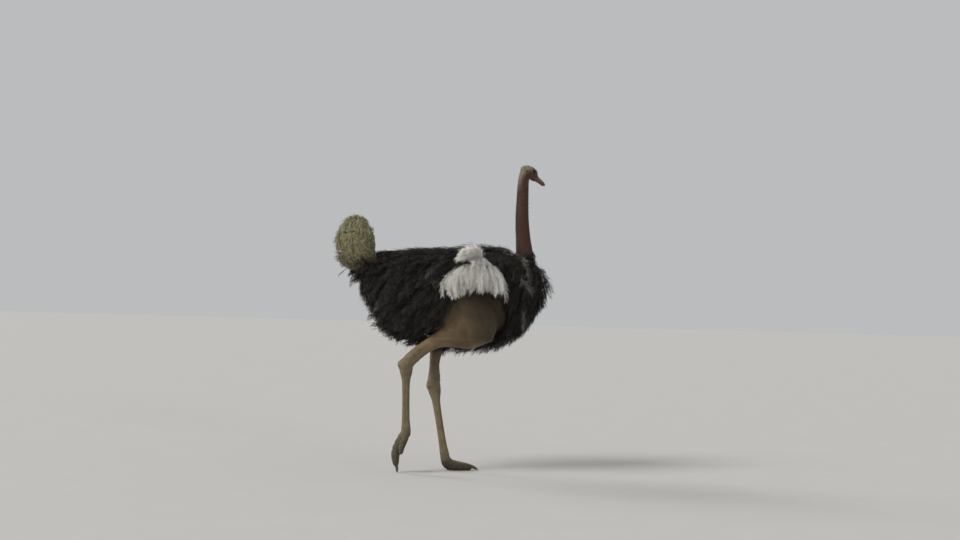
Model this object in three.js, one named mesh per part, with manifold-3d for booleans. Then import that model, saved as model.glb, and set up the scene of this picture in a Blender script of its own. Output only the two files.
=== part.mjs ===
// A male ostrich walking, life size, as a still model. Millimetres, +Z up, the bird faces +X and its
// left side is +Y. It is in the middle of a step: the left foot stands flat close under the middle of
// the body, and the right leg trails, its toe hanging so that only the claw's tip meets the floor.
// The trunk, tail and wings are solids of the outer shape that their feathers fill. The legs, neck and
// head are the flesh itself. Neighbours are parted by thin cuts.
import * as THREE from "three";
import { mergeVertices } from "three/addons/utils/BufferGeometryUtils.js";
import Module from "manifold-3d";

const wasm = await Module();
wasm.setup();

// ---- driving dimensions, measured from the floor under the middle of the hips ----
const GAP = 0.35; // clear space left at each cut
const SEAM_DETAIL = 0.04; // edges shorter than this along a cut are merged
const HEAD_PITCH = THREE.MathUtils.degToRad(24); // the bill points this far below level
const OCCIPUT = new THREE.Vector3(588, 0, 2046); // back of the head, on the head's own axis
const EYE_RADIUS = 20.5;
const SIDES = { left: 1, right: -1 };

// Joint centres of each leg. The left leg carries the bird, the right one has just pushed off.
const LEGS = {
  left: {
    hip: [20, 118, 1150],
    knee: [188, 186, 1005],
    ankle: [34, 78, 566],
    foot: [98, -22, 76],
  },
  right: {
    hip: [40, -118, 1130],
    knee: [238, -200, 958],
    ankle: [-264, -158, 706],
    foot: [-225, -104, 258],
  },
};

// The trunk from rump to breast: where along X, the top and bottom line, and half the width.
const TRUNK = [
  { x: -560, top: 1342, bottom: 1204, wide: 96 },
  { x: -480, top: 1400, bottom: 1088, wide: 172 },
  { x: -370, top: 1436, bottom: 950, wide: 226 },
  { x: -210, top: 1466, bottom: 868, wide: 256 },
  { x: 0, top: 1490, bottom: 828, wide: 258 },
  { x: 220, top: 1502, bottom: 806, wide: 240 },
  { x: 400, top: 1512, bottom: 812, wide: 236 },
  { x: 540, top: 1498, bottom: 850, wide: 214 },
  { x: 660, top: 1440, bottom: 930, wide: 174 },
  { x: 748, top: 1372, bottom: 1080, wide: 112 },
];

// ---- making closed bodies ----

/**
 * A closed body swept along a smooth path through its stations, with a dome on each end.
 * A station has its place, and half its size across (wide) and along the third direction (deep).
 */
function loft(stations, options = {}) {
  const { sides = 14, perSpan = 2, facing = null, egg = 0, domes = [0.7, 0.7], grow = 0 } = options;
  const places = stations.map((s) => new THREE.Vector3(...s.at));
  const halves = stations.map((s) => new THREE.Vector3(s.wide + grow, s.deep + grow, 0));
  const path = new THREE.CatmullRomCurve3(places, false, "centripetal");
  const sizes = new THREE.CatmullRomCurve3(halves);
  const count = (stations.length - 1) * perSpan;
  const points = [];

  function frameAt(u) {
    const along = facing ? new THREE.Vector3(...facing) : path.getTangent(u);
    const wideAxis = new THREE.Vector3(0, 1, 0);
    wideAxis.addScaledVector(along, -wideAxis.dot(along)).normalize();
    return { along, wideAxis, deepAxis: new THREE.Vector3().crossVectors(along, wideAxis) };
  }

  function addRing(centre, frame, wide, deep) {
    for (let j = 0; j < sides; j++) {
      const angle = (2 * Math.PI * j) / sides;
      const lean = 1 + egg * Math.sin(angle);
      points.push(
        centre.clone()
          .addScaledVector(frame.wideAxis, wide * lean * Math.cos(angle))
          .addScaledVector(frame.deepAxis, deep * Math.sin(angle)),
      );
    }
  }

  // One ring of a dome. share runs from 0 at the body to 1 at the pole, and way is -1 at the start.
  function domeRing(u, share, way) {
    const frame = frameAt(u);
    const size = sizes.getPoint(u);
    const reach = domes[way < 0 ? 0 : 1] * Math.min(size.x, size.y);
    const angle = (share * Math.PI) / 2;
    const centre = path.getPoint(u).addScaledVector(frame.along, way * reach * Math.sin(angle));
    if (share === 1) return points.push(centre);
    const shrink = Math.cos(angle);
    return addRing(centre, frame, size.x * shrink, size.y * shrink);
  }

  const domeShares = [0.36, 0.7];
  domeRing(0, 1, -1);
  for (const share of [...domeShares].reverse()) domeRing(0, share, -1);
  for (let i = 0; i <= count; i++) {
    const size = sizes.getPoint(i / count);
    addRing(path.getPoint(i / count), frameAt(i / count), size.x, size.y);
  }
  for (const share of domeShares) domeRing(1, share, 1);
  domeRing(1, 1, 1);

  const rings = count + 1 + 2 * domeShares.length;
  const last = points.length - 1;
  const corner = (ring, j) => 1 + ring * sides + (j % sides);
  const index = [];
  for (let j = 0; j < sides; j++) {
    index.push(0, corner(0, j + 1), corner(0, j));
    for (let ring = 0; ring < rings - 1; ring++) {
      index.push(corner(ring, j), corner(ring, j + 1), corner(ring + 1, j + 1));
      index.push(corner(ring, j), corner(ring + 1, j + 1), corner(ring + 1, j));
    }
    index.push(corner(rings - 1, j), corner(rings - 1, j + 1), last);
  }
  return new THREE.BufferGeometry().setFromPoints(points).setIndex(index);
}

/** A geometry as a manifold-3d solid. */
function solid(geometry) {
  const bare = new THREE.BufferGeometry().setAttribute("position", geometry.getAttribute("position"));
  bare.setIndex(geometry.getIndex());
  const merged = mergeVertices(bare, 1e-3);
  return new wasm.Manifold(
    new wasm.Mesh({
      numProp: 3,
      vertProperties: new Float32Array(merged.attributes.position.array),
      triVerts: new Uint32Array(merged.index.array),
    }),
  );
}

/** The largest separate body of a solid, which drops the slivers that a cut can leave. */
function largest(shape) {
  return shape.decompose().reduce((a, b) => (a.volume() > b.volume() ? a : b));
}

/** Two shapes that bend at a joint are parted there by a plane half way between their directions. */
function partAt(joint, from, to) {
  const centre = new THREE.Vector3(...joint);
  const incoming = centre.clone().sub(new THREE.Vector3(...from)).normalize();
  const outgoing = new THREE.Vector3(...to).sub(centre).normalize();
  const normal = incoming.add(outgoing).normalize();
  const offset = normal.dot(centre);
  return {
    before: (shape) => shape.trimByPlane(normal.clone().negate().toArray(), GAP / 2 - offset),
    after: (shape) => shape.trimByPlane(normal.toArray(), GAP / 2 + offset),
  };
}

/** One shape as a solid, and the same shape a gap larger, to cut its neighbours with. */
function piece(make) {
  return { shape: make(0), cutter: make(GAP) };
}

/** A piece of several shapes in one. */
function joined(...makers) {
  return piece((grow) => makers.map((make) => make(grow)).reduce((a, b) => a.add(b)));
}

/** A piece's solid with its neighbours cut away. */
function cut(from, ...neighbours) {
  return largest(neighbours.reduce((rest, neighbour) => rest.subtract(neighbour.cutter), from.shape));
}

const lofted = (stations, options) => piece((grow) => solid(loft(stations, { ...options, grow })));
const mirrored = (point, side) => [point[0], point[1] * side, point[2]];
const between = (a, b, share) => a.map((v, i) => v + (b[i] - v) * share);
const FLOOR_SIZE = [4000, 4000, 400];
const floor = { cutter: solid(new THREE.BoxGeometry(...FLOOR_SIZE).translate(0, 0, -FLOOR_SIZE[2] / 2)) };

// ---- trunk, tail and wings: the shapes that the feathers fill ----

const trunk = lofted(
  TRUNK.map((s) => ({ at: [s.x, 0, (s.top + s.bottom) / 2], wide: s.wide, deep: (s.top - s.bottom) / 2 })),
  { sides: 22, facing: [1, 0, 0], egg: 0.12, domes: [0.5, 0.62] },
);

// The tail plumes rise from the rump, arch over and fall behind it: a middle bunch and one each side.
// The falling plumes fill the space down to the rump.
function tailBunch(spread, rise, reach) {
  const at = (x, lean, z) => [x, spread * lean, z];
  const options = (grow) => ({ sides: 10, domes: [0.9, 0.95], grow });
  const rising = [
    { at: at(-458, 0.3, 1330), wide: 56, deep: 46 },
    { at: at(-506, 0.6, 1432), wide: 84, deep: 64 },
    { at: at(-546, 0.85, 1528 + rise * 0.5), wide: 98, deep: 78 },
    { at: at(-574, 1, 1586 + rise), wide: 88, deep: 68 },
  ];
  const falling = [
    { at: at(-598, 1, 1578 + rise), wide: 86, deep: 66 },
    { at: at(-626 - reach, 1.08, 1500 + rise * 0.5), wide: 92, deep: 70 },
    { at: at(-640 - reach, 1.12, 1390), wide: 78, deep: 62 },
    { at: at(-632 - reach, 1.1, 1300), wide: 52, deep: 44 },
  ];
  return (grow) => solid(loft(rising, options(grow))).add(solid(loft(falling, options(grow))));
}
const tail = joined(tailBunch(0, 22, 4), tailBunch(92, 0, -6), tailBunch(-92, 0, -6));

// A folded wing: its own arm and black feathers lie along the side, from the shoulder back.
function wing(side) {
  return lofted(
    [
      { at: mirrored([520, 196, 1320], side), wide: 42, deep: 88 },
      { at: mirrored([440, 244, 1345], side), wide: 52, deep: 120 },
      { at: mirrored([300, 276, 1365], side), wide: 54, deep: 118 },
      { at: mirrored([140, 288, 1372], side), wide: 52, deep: 102 },
      { at: mirrored([-10, 282, 1352], side), wide: 48, deep: 96 },
      { at: mirrored([-150, 262, 1300], side), wide: 40, deep: 84 },
    ],
    { sides: 12, domes: [0.9, 1] },
  );
}

// The white wing plumes: a crest over the wing's top edge, and two lobes that hang over the thigh.
// The left crest is held lower than the right one by the drop.
function plumes(side) {
  const drop = side === SIDES.left ? 62 : 0;
  const lobes = (grow) =>
    solid(
      loft(
        [
          { at: mirrored([-84, 322, 1170], side), wide: 26, deep: 32 },
          { at: mirrored([-54, 336, 1228], side), wide: 36, deep: 58 },
          { at: mirrored([36, 348, 1276], side), wide: 42, deep: 70 },
          { at: mirrored([150, 354, 1290], side), wide: 44, deep: 84 },
          { at: mirrored([252, 348, 1244], side), wide: 42, deep: 84 },
          { at: mirrored([296, 334, 1160], side), wide: 32, deep: 58 },
        ],
        { sides: 12, grow, domes: [0.9, 0.9] },
      ),
    );
  const crest = (grow) =>
    solid(
      loft(
        [
          { at: mirrored([134, 334, 1300], side), wide: 40, deep: 92 },
          { at: mirrored([120, 326, 1372], side), wide: 34, deep: 68 },
          { at: mirrored([108, 296, 1440 - drop * 0.6], side), wide: 30, deep: 70 },
          { at: mirrored([88, 262, 1470 - drop], side), wide: 24, deep: 84 },
        ],
        { sides: 10, grow, domes: [0.5, 0.9] },
      ),
    );
  return joined(lobes, crest);
}

// ---- neck and head ----

const neck = lofted(
  [
    { at: [570, 0, 1240], wide: 92, deep: 112 },
    { at: [656, 0, 1345], wide: 82, deep: 104 },
    { at: [652, 0, 1450], wide: 68, deep: 82 },
    { at: [624, 0, 1560], wide: 54, deep: 62 },
    { at: [605, 0, 1700], wide: 47, deep: 51 },
    { at: [602, 0, 1850], wide: 43, deep: 46 },
    { at: [604, 0, 1965], wide: 38, deep: 42 },
    { at: [618, 0, 2030], wide: 34, deep: 38 },
  ],
  { sides: 14, domes: [0.4, 0.8] },
);

// Head points are given along the head's own axis (forward), to the side and above it.
const HEAD_TURN = new THREE.Matrix4().makeRotationY(HEAD_PITCH).setPosition(OCCIPUT);
const onHead = (forward, side, up) => new THREE.Vector3(forward, side, up).applyMatrix4(HEAD_TURN).toArray();

const skull = lofted(
  [
    { at: onHead(14, 0, 2), wide: 26, deep: 27 },
    { at: onHead(36, 0, 6), wide: 37, deep: 38 },
    { at: onHead(64, 0, 7), wide: 41, deep: 42 },
    { at: onHead(92, 0, 3), wide: 37, deep: 37 },
    { at: onHead(116, 0, -5), wide: 30, deep: 26 },
    { at: onHead(132, 0, -9), wide: 26, deep: 20 },
  ],
  { sides: 16, domes: [0.8, 0.5] },
);
const upperBill = lofted(
  [
    { at: onHead(112, 0, -3), wide: 25, deep: 13 },
    { at: onHead(140, 0, -6), wide: 25, deep: 11.5 },
    { at: onHead(168, 0, -11), wide: 22, deep: 9.5 },
    { at: onHead(190, 0, -16), wide: 16, deep: 8 },
    { at: onHead(201, 0, -20), wide: 9, deep: 6 },
  ],
  { sides: 10, perSpan: 1, domes: [0.5, 0.8] },
);
const lowerBill = lofted(
  [
    { at: onHead(104, 0, -25), wide: 25, deep: 8 },
    { at: onHead(136, 0, -25), wide: 23, deep: 7 },
    { at: onHead(164, 0, -27), wide: 19, deep: 6 },
    { at: onHead(184, 0, -29), wide: 12, deep: 4.5 },
  ],
  { sides: 10, perSpan: 1, domes: [0.5, 0.8] },
);
const eye = (side) =>
  piece((grow) =>
    solid(new THREE.SphereGeometry(EYE_RADIUS + grow, 12, 8).translate(...onHead(74, 24 * side, 12))),
  );

// ---- legs ----

/** The thigh, drumstick and shank of a leg, each still running on past the joints it is parted at. */
function leg(name) {
  const { hip, knee, ankle, foot } = LEGS[name];
  const thigh = lofted(
    [
      { at: hip, wide: 124, deep: 140 },
      { at: between(hip, knee, 0.45), wide: 128, deep: 186 },
      { at: between(hip, knee, 0.85), wide: 110, deep: 176 },
      { at: between(hip, knee, 1.25), wide: 86, deep: 130 },
    ],
    { sides: 16, domes: [0.5, 0.5] },
  );
  const drumstick = lofted(
    [
      { at: between(knee, ankle, -0.06), wide: 84, deep: 122 },
      { at: between(knee, ankle, 0.18), wide: 82, deep: 110 },
      { at: between(knee, ankle, 0.36), wide: 60, deep: 70 },
      { at: between(knee, ankle, 0.54), wide: 40, deep: 41 },
      { at: between(knee, ankle, 0.72), wide: 31, deep: 31 },
      { at: between(knee, ankle, 0.9), wide: 35, deep: 40 },
      { at: between(knee, ankle, 1.04), wide: 40, deep: 50 },
    ],
    { sides: 14, perSpan: 1, domes: [0.4, 0.85] },
  );
  const shank = lofted(
    [
      { at: between(ankle, foot, -0.03), wide: 40, deep: 50 },
      { at: between(ankle, foot, 0.1), wide: 37, deep: 43 },
      { at: between(ankle, foot, 0.24), wide: 26, deep: 28 },
      { at: between(ankle, foot, 0.5), wide: 23, deep: 24.5 },
      { at: between(ankle, foot, 0.78), wide: 24, deep: 26 },
      { at: between(ankle, foot, 0.93), wide: 31, deep: 32 },
      { at: between(ankle, foot, 1.02), wide: 33, deep: 33 },
    ],
    { sides: 12, perSpan: 1, domes: [0.8, 0.75] },
  );
  return { thigh, drumstick, shank };
}

// Each foot has a long inner toe with the claw, and a short outer toe. Places are measured from the
// toe joint: forward, outwards and up.
const fromFoot = (name, forward, outwards, up) => {
  const [x, y, z] = LEGS[name].foot;
  return [x + forward, y + outwards * SIDES[name], z + up];
};

/** The pieces of a foot. Each row is a station: forward, outwards and up, then wide and deep. */
function toes(name, inner, outer, claw) {
  const stations = (rows) => rows.map(([forward, outwards, up, wide, deep]) => {
    return { at: fromFoot(name, forward, outwards, up), wide, deep };
  });
  const innerStations = stations(inner);
  return {
    inner: lofted(innerStations, { sides: 12, perSpan: 1, domes: [0.7, 0.8] }),
    outer: lofted(stations(outer), { sides: 10, perSpan: 1, domes: [0.7, 0.9] }),
    claw: lofted(stations(claw), { sides: 8, perSpan: 1, domes: [0.5, 0.7] }),
    towards: innerStations[1].at,
  };
}
const FEET = {
  // Flat on the floor.
  left: toes(
    "left",
    [
      [-3, 0, 8, 31, 31],
      [30, 0, -26, 32, 31],
      [68, 0, -43, 34, 35],
      [110, 0, -48, 31, 31],
      [148, 0, -52, 28, 27],
      [180, 0, -55, 23, 22],
    ],
    [
      [2, 18, -12, 22, 22],
      [22, 44, -36, 22, 24],
      [54, 62, -54, 21, 24],
      [88, 74, -58, 16, 19],
    ],
    [
      [182, 0, -49, 15, 13],
      [206, 0, -55, 12.5, 11],
      [226, 0, -65, 8, 8],
      [238, 0, -72, 4, 4],
    ],
  ),
  // Trailing: the toes hang, heel first, and the claw's tip is down.
  right: toes(
    "right",
    [
      [2, 0, 12, 31, 30],
      [-32, 0, -44, 33, 31],
      [-56, 0, -94, 33, 31],
      [-67, -1, -142, 30, 28],
      [-65, -2, -178, 26, 24],
      [-60, -3, -204, 20, 19],
    ],
    [
      [-4, 16, -14, 22, 22],
      [-26, 38, -48, 22, 22],
      [-46, 50, -88, 20, 20],
      [-52, 54, -124, 15, 15],
    ],
    [
      [-60, -3, -200, 14, 12],
      [-54, -3, -224, 12, 10.5],
      [-51, -3, -246, 8.5, 8.5],
      [-50, -3, -257, 6.5, 6.5],
    ],
  ),
};

// ---- finishes ----

function finish(color, roughness) {
  return new THREE.MeshStandardMaterial({ color, roughness, metalness: 0 });
}
const FINISHES = {
  blackPlumage: finish(0x1d1a17, 0.95),
  whitePlumage: finish(0xd9d4c8, 0.9),
  tailPlumage: finish(0x9c9270, 0.95),
  neckSkin: finish(0x8a5f4e, 0.85),
  legSkin: finish(0x9b7862, 0.7),
  scales: finish(0x84705a, 0.6),
  horn: finish(0x7c6a55, 0.45),
  eye: finish(0x2a1c12, 0.15),
};

// ---- assembly ----

const ostrich = new THREE.Group();

function add(name, shape, material) {
  const { vertProperties, triVerts } = shape.simplify(SEAM_DETAIL).getMesh();
  const geometry = new THREE.BufferGeometry();
  geometry.setAttribute("position", new THREE.BufferAttribute(vertProperties, 3));
  geometry.setIndex(new THREE.BufferAttribute(triVerts, 1));
  geometry.computeVertexNormals();
  const mesh = new THREE.Mesh(geometry, material);
  mesh.name = name;
  ostrich.add(mesh);
}

const eyes = { left: eye(SIDES.left), right: eye(SIDES.right) };
add("trunk", trunk.shape, FINISHES.blackPlumage);
add("tail", cut(tail, trunk), FINISHES.tailPlumage);
add("head", cut(skull, eyes.left, eyes.right), FINISHES.neckSkin);
add("neck", cut(neck, trunk, skull), FINISHES.neckSkin);
add("bill_upper", cut(upperBill, skull), FINISHES.horn);
add("bill_lower", cut(lowerBill, skull, upperBill), FINISHES.horn);

for (const [name, side] of Object.entries(SIDES)) {
  const { hip, knee, ankle, foot } = LEGS[name];
  const { thigh, drumstick, shank } = leg(name);
  const { inner, outer, claw, towards } = FEET[name];
  const atKnee = partAt(knee, hip, ankle);
  const atAnkle = partAt(ankle, knee, foot);
  const atFoot = partAt(foot, ankle, towards);
  const arm = wing(side);
  add(`eye_${name}`, largest(eyes[name].shape), FINISHES.eye);
  add(`thigh_${name}`, largest(atKnee.before(cut(thigh, trunk))), FINISHES.legSkin);
  add(`drumstick_${name}`, largest(atAnkle.before(atKnee.after(cut(drumstick, trunk)))), FINISHES.legSkin);
  add(`shank_${name}`, atFoot.before(atAnkle.after(shank.shape)), FINISHES.scales);
  add(`toe_inner_${name}`, atFoot.after(cut(inner, floor)), FINISHES.scales);
  add(`toe_outer_${name}`, cut(outer, inner, shank, floor), FINISHES.scales);
  add(`claw_${name}`, cut(claw, inner, floor), FINISHES.horn);
  add(`wing_${name}`, cut(arm, trunk, thigh), FINISHES.blackPlumage);
  add(`wing_plumes_${name}`, cut(plumes(side), arm, trunk, thigh), FINISHES.whitePlumage);
}

// The origin is moved to the floor under the middle of the whole bird's box.
const box = new THREE.Box3().setFromObject(ostrich);
ostrich.position.set(-(box.min.x + box.max.x) / 2, -(box.min.y + box.max.y) / 2, -box.min.z);

export default ostrich;
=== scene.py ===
"""A male ostrich in mid-stride: one skin over the whole bird, its eyes, bill and claws, and the plumage.

The bird faces +X and its left side is +Y. Lengths are in metres and +Z is up. The places below are
measured from the floor under the middle of the hips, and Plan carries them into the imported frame.
"""

from __future__ import annotations

import logging
import math
from dataclasses import dataclass
from enum import Enum
from typing import Callable, Self, Sequence

import bpy
import numpy as np
from bpy.types import Material, Node, NodeSocket, Object
from mathutils import Matrix, Vector
from mathutils.bvhtree import BVHTree
from mathutils.kdtree import KDTree

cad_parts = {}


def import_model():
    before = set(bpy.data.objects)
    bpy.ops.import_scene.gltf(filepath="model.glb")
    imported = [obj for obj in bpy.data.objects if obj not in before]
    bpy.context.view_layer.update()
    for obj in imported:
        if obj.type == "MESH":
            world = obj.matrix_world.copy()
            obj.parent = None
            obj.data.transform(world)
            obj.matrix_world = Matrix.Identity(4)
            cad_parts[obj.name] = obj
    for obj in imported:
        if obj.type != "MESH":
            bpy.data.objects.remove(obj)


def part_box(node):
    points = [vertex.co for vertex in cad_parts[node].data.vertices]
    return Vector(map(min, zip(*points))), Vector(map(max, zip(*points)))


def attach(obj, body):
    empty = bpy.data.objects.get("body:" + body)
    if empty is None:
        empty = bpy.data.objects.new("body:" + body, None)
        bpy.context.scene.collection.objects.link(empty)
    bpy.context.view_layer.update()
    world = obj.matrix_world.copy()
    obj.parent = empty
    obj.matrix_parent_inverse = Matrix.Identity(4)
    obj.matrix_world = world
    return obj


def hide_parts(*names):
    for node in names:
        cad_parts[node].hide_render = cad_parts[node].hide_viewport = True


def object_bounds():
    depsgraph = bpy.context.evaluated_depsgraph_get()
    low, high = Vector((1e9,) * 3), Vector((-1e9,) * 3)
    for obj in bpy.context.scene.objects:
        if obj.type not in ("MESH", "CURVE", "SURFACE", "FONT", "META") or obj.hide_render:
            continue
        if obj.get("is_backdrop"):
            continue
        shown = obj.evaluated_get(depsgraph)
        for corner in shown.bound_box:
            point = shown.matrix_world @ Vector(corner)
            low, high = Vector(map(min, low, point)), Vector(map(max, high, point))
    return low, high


LOG = logging.getLogger("ostrich")
Array = np.ndarray
Rng = np.random.Generator
Rows = Sequence[Sequence[float]]
Pair = tuple[float, float]
Triple = tuple[float, float, float]
Colour = tuple[float, float, float, float]
UP = np.array([0.0, 0.0, 1.0])
ACROSS = np.array([0.0, 1.0, 0.0])
FORWARD = np.array([1.0, 0.0, 0.0])
BAKE_MAP = "OFBake"
PATCH = 0.003  # each tuft's own share of the bake map
BETWEEN_LEGS = -0.0635  # the Y that parts the two lower legs
GROUND = 0.0006  # the lowest that skin and claws reach


class Side(Enum):
    """The bird's two sides, each with the sign of its Y."""

    LEFT = 1
    RIGHT = -1

    @property
    def word(self) -> str:
        """The side's word in node names."""
        return self.name.lower()


# ---- small mathematics on rows of points ----


def unit(v: Array) -> Array:
    """Each row of v at length one."""
    return v / np.maximum(np.linalg.norm(v, axis=-1, keepdims=True), 1e-12)


def ease(low: float, high: float, x: Array) -> Array:
    """0 below low, 1 above high and a soft ramp between them."""
    t = np.clip((np.asarray(x, float) - low) / (high - low), 0, 1)
    return t * t * (3 - 2 * t)


def bump(centre: float, half: float, x: Array) -> Array:
    """A soft hill of height one at centre that has fallen to 0.37 at half away."""
    return np.exp(-(((np.asarray(x, float) - centre) / half) ** 2))


def spline(knots: Array, u: Array) -> Array:
    """Points on a smooth curve through the knots.

    Args:
        knots: one row per knot, of any width.
        u: places along the curve, from 0 to 1.

    Returns:
        One row for each place.
    """
    k = np.asarray(knots, float)
    k = np.vstack([2 * k[0] - k[1], k, 2 * k[-1] - k[-2]])
    spans = len(k) - 3
    x = np.clip(np.asarray(u, float), 0, 1) * spans
    i = np.minimum(x.astype(int), spans - 1)
    t = (x - i)[:, None]
    a, b, c, d = k[i], k[i + 1], k[i + 2], k[i + 3]
    return 0.5 * (2 * b + (c - a) * t + (2 * a - 5 * b + 4 * c - d) * t**2 + (3 * b - a - 3 * c + d) * t**3)


def off_segment(points: Array, start: Sequence[float], end: Sequence[float]) -> Array:
    """How far each point lies from the stretch between two places."""
    a, b = np.array(start), np.array(end)
    t = np.clip(((points - a) @ (b - a)) / ((b - a) @ (b - a)), 0, 1)
    return np.linalg.norm(points - a - t[:, None] * (b - a), axis=1)


def spread_2d(count: int, seed: int) -> Array:
    """Evenly scattered points in the unit square, the same ones each time."""
    golden = 1.32471795724474602596
    steps = np.arange(1, count + 1)[:, None] + seed * 977
    return (0.5 + steps * np.array([1 / golden, 1 / golden**2])) % 1.0


# ---- the bird's places ----


@dataclass(frozen=True)
class Plan:
    """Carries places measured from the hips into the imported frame.

    Args:
        shift: how far forward the hips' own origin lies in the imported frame.
    """

    shift: float

    @classmethod
    def from_frame(cls) -> Plan:
        """Finds the shift from the eye, whose place from the hips is known."""
        low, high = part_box("eye_left")
        return cls(float((low + high).x / 2 - Head.on_head(np.array([[0.074, 0, 0.012]]))[0, 0]))

    def place(self, stations: Rows) -> Array:
        """Stations measured from the hips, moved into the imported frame."""
        rows = np.array(stations, float)
        rows[:, 0] += self.shift
        return rows

    def from_hips(self, points: Array) -> Array:
        """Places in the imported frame, measured from the hips."""
        return points - FORWARD * self.shift


@dataclass(frozen=True)
class Joints:
    """The joint centres of one leg, from the hips.

    Args:
        hip: the hip's.
        knee: the knee's.
        ankle: the ankle's.
        foot: the toes' common root.
        calf: rows from knee to ankle: share, bow towards the rear, half width and half depth.
        bare: the bare flank over the thigh: its middle's x and z and its half sizes.
        edge: how far off the calf the plumage stops: at the knee, a fifth and half of the way, and below.
    """

    hip: Triple
    knee: Triple
    ankle: Triple
    foot: Triple
    calf: Rows
    bare: tuple[float, ...]
    edge: tuple[float, ...]

    def off_calf(self, x: Array, z: Array) -> tuple[Array, Array]:
        """How far along the calf each place lies, and how far off its bowed middle, seen from the side.

        Args:
            x: how far forward each place is.
            z: how high each place is.

        Returns:
            The shares along the calf, and the distances off its middle.
        """
        a, b = np.array(self.knee)[[0, 2]], np.array(self.ankle)[[0, 2]]
        size = np.linalg.norm(b - a)
        ahead = (b - a) / size
        away = np.stack([x, z], axis=1) - a
        rows = np.array(self.calf)
        share = away @ ahead / size
        near = np.clip(share, 0, 1)
        across = away @ np.array([ahead[1], -ahead[0]]) - np.interp(near, rows[:, 0], rows[:, 1])
        return share, np.hypot(across, (share - near) * size)


CALF_TOP = ((-0.2, 0, 0.034, 0.042), (-0.13, 0, 0.066, 0.084), (-0.04, 0, 0.083, 0.11))
CALF_END = ((1.04, 0, 0.04, 0.05),)
LEGS = {
    Side.LEFT: Joints(
        (0.02, 0.118, 1.15), (0.188, 0.186, 1.005), (0.034, 0.078, 0.566), (0.098, -0.022, 0.076),
        calf=CALF_TOP + (
            (0.06, 0.01, 0.084, 0.116), (0.18, 0.022, 0.082, 0.112), (0.36, 0.036, 0.06, 0.076),
            (0.54, 0.042, 0.041, 0.045), (0.72, 0.028, 0.031, 0.033), (0.9, 0.006, 0.035, 0.042),
        ) + CALF_END,
        bare=(0.128, 1.000, 0.178, 0.19),
        edge=(0.12, 0.11, 0.08, 0.06),
    ),
    Side.RIGHT: Joints(
        (0.04, -0.118, 1.13), (0.238, -0.2, 0.958), (-0.264, -0.158, 0.706), (-0.225, -0.104, 0.258),
        calf=CALF_TOP + (
            (0.06, 0.012, 0.084, 0.119), (0.18, 0.028, 0.082, 0.118), (0.36, 0.05, 0.064, 0.086),
            (0.54, 0.06, 0.046, 0.058), (0.72, 0.05, 0.036, 0.045), (0.9, 0.024, 0.036, 0.044),
        ) + CALF_END,
        bare=(0.205, 1.000, 0.225, 0.195),
        edge=(0.165, 0.13, 0.066, 0.052),
    ),
}


def of_leg(points: Array, side: Side) -> Array:
    """Which points of the lower legs are on this side's leg."""
    return (points[:, 1] > BETWEEN_LEGS) == (side is Side.LEFT)


def along_bone(points: Array, start: Sequence[float], end: Sequence[float]) -> tuple[Array, Array]:
    """How far along each point lies from one joint to the next, as a share, and the way between them."""
    a, b = np.array(start), np.array(end)
    way = unit(b - a)
    return ((points - a) @ way) / np.linalg.norm(b - a), way


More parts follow.
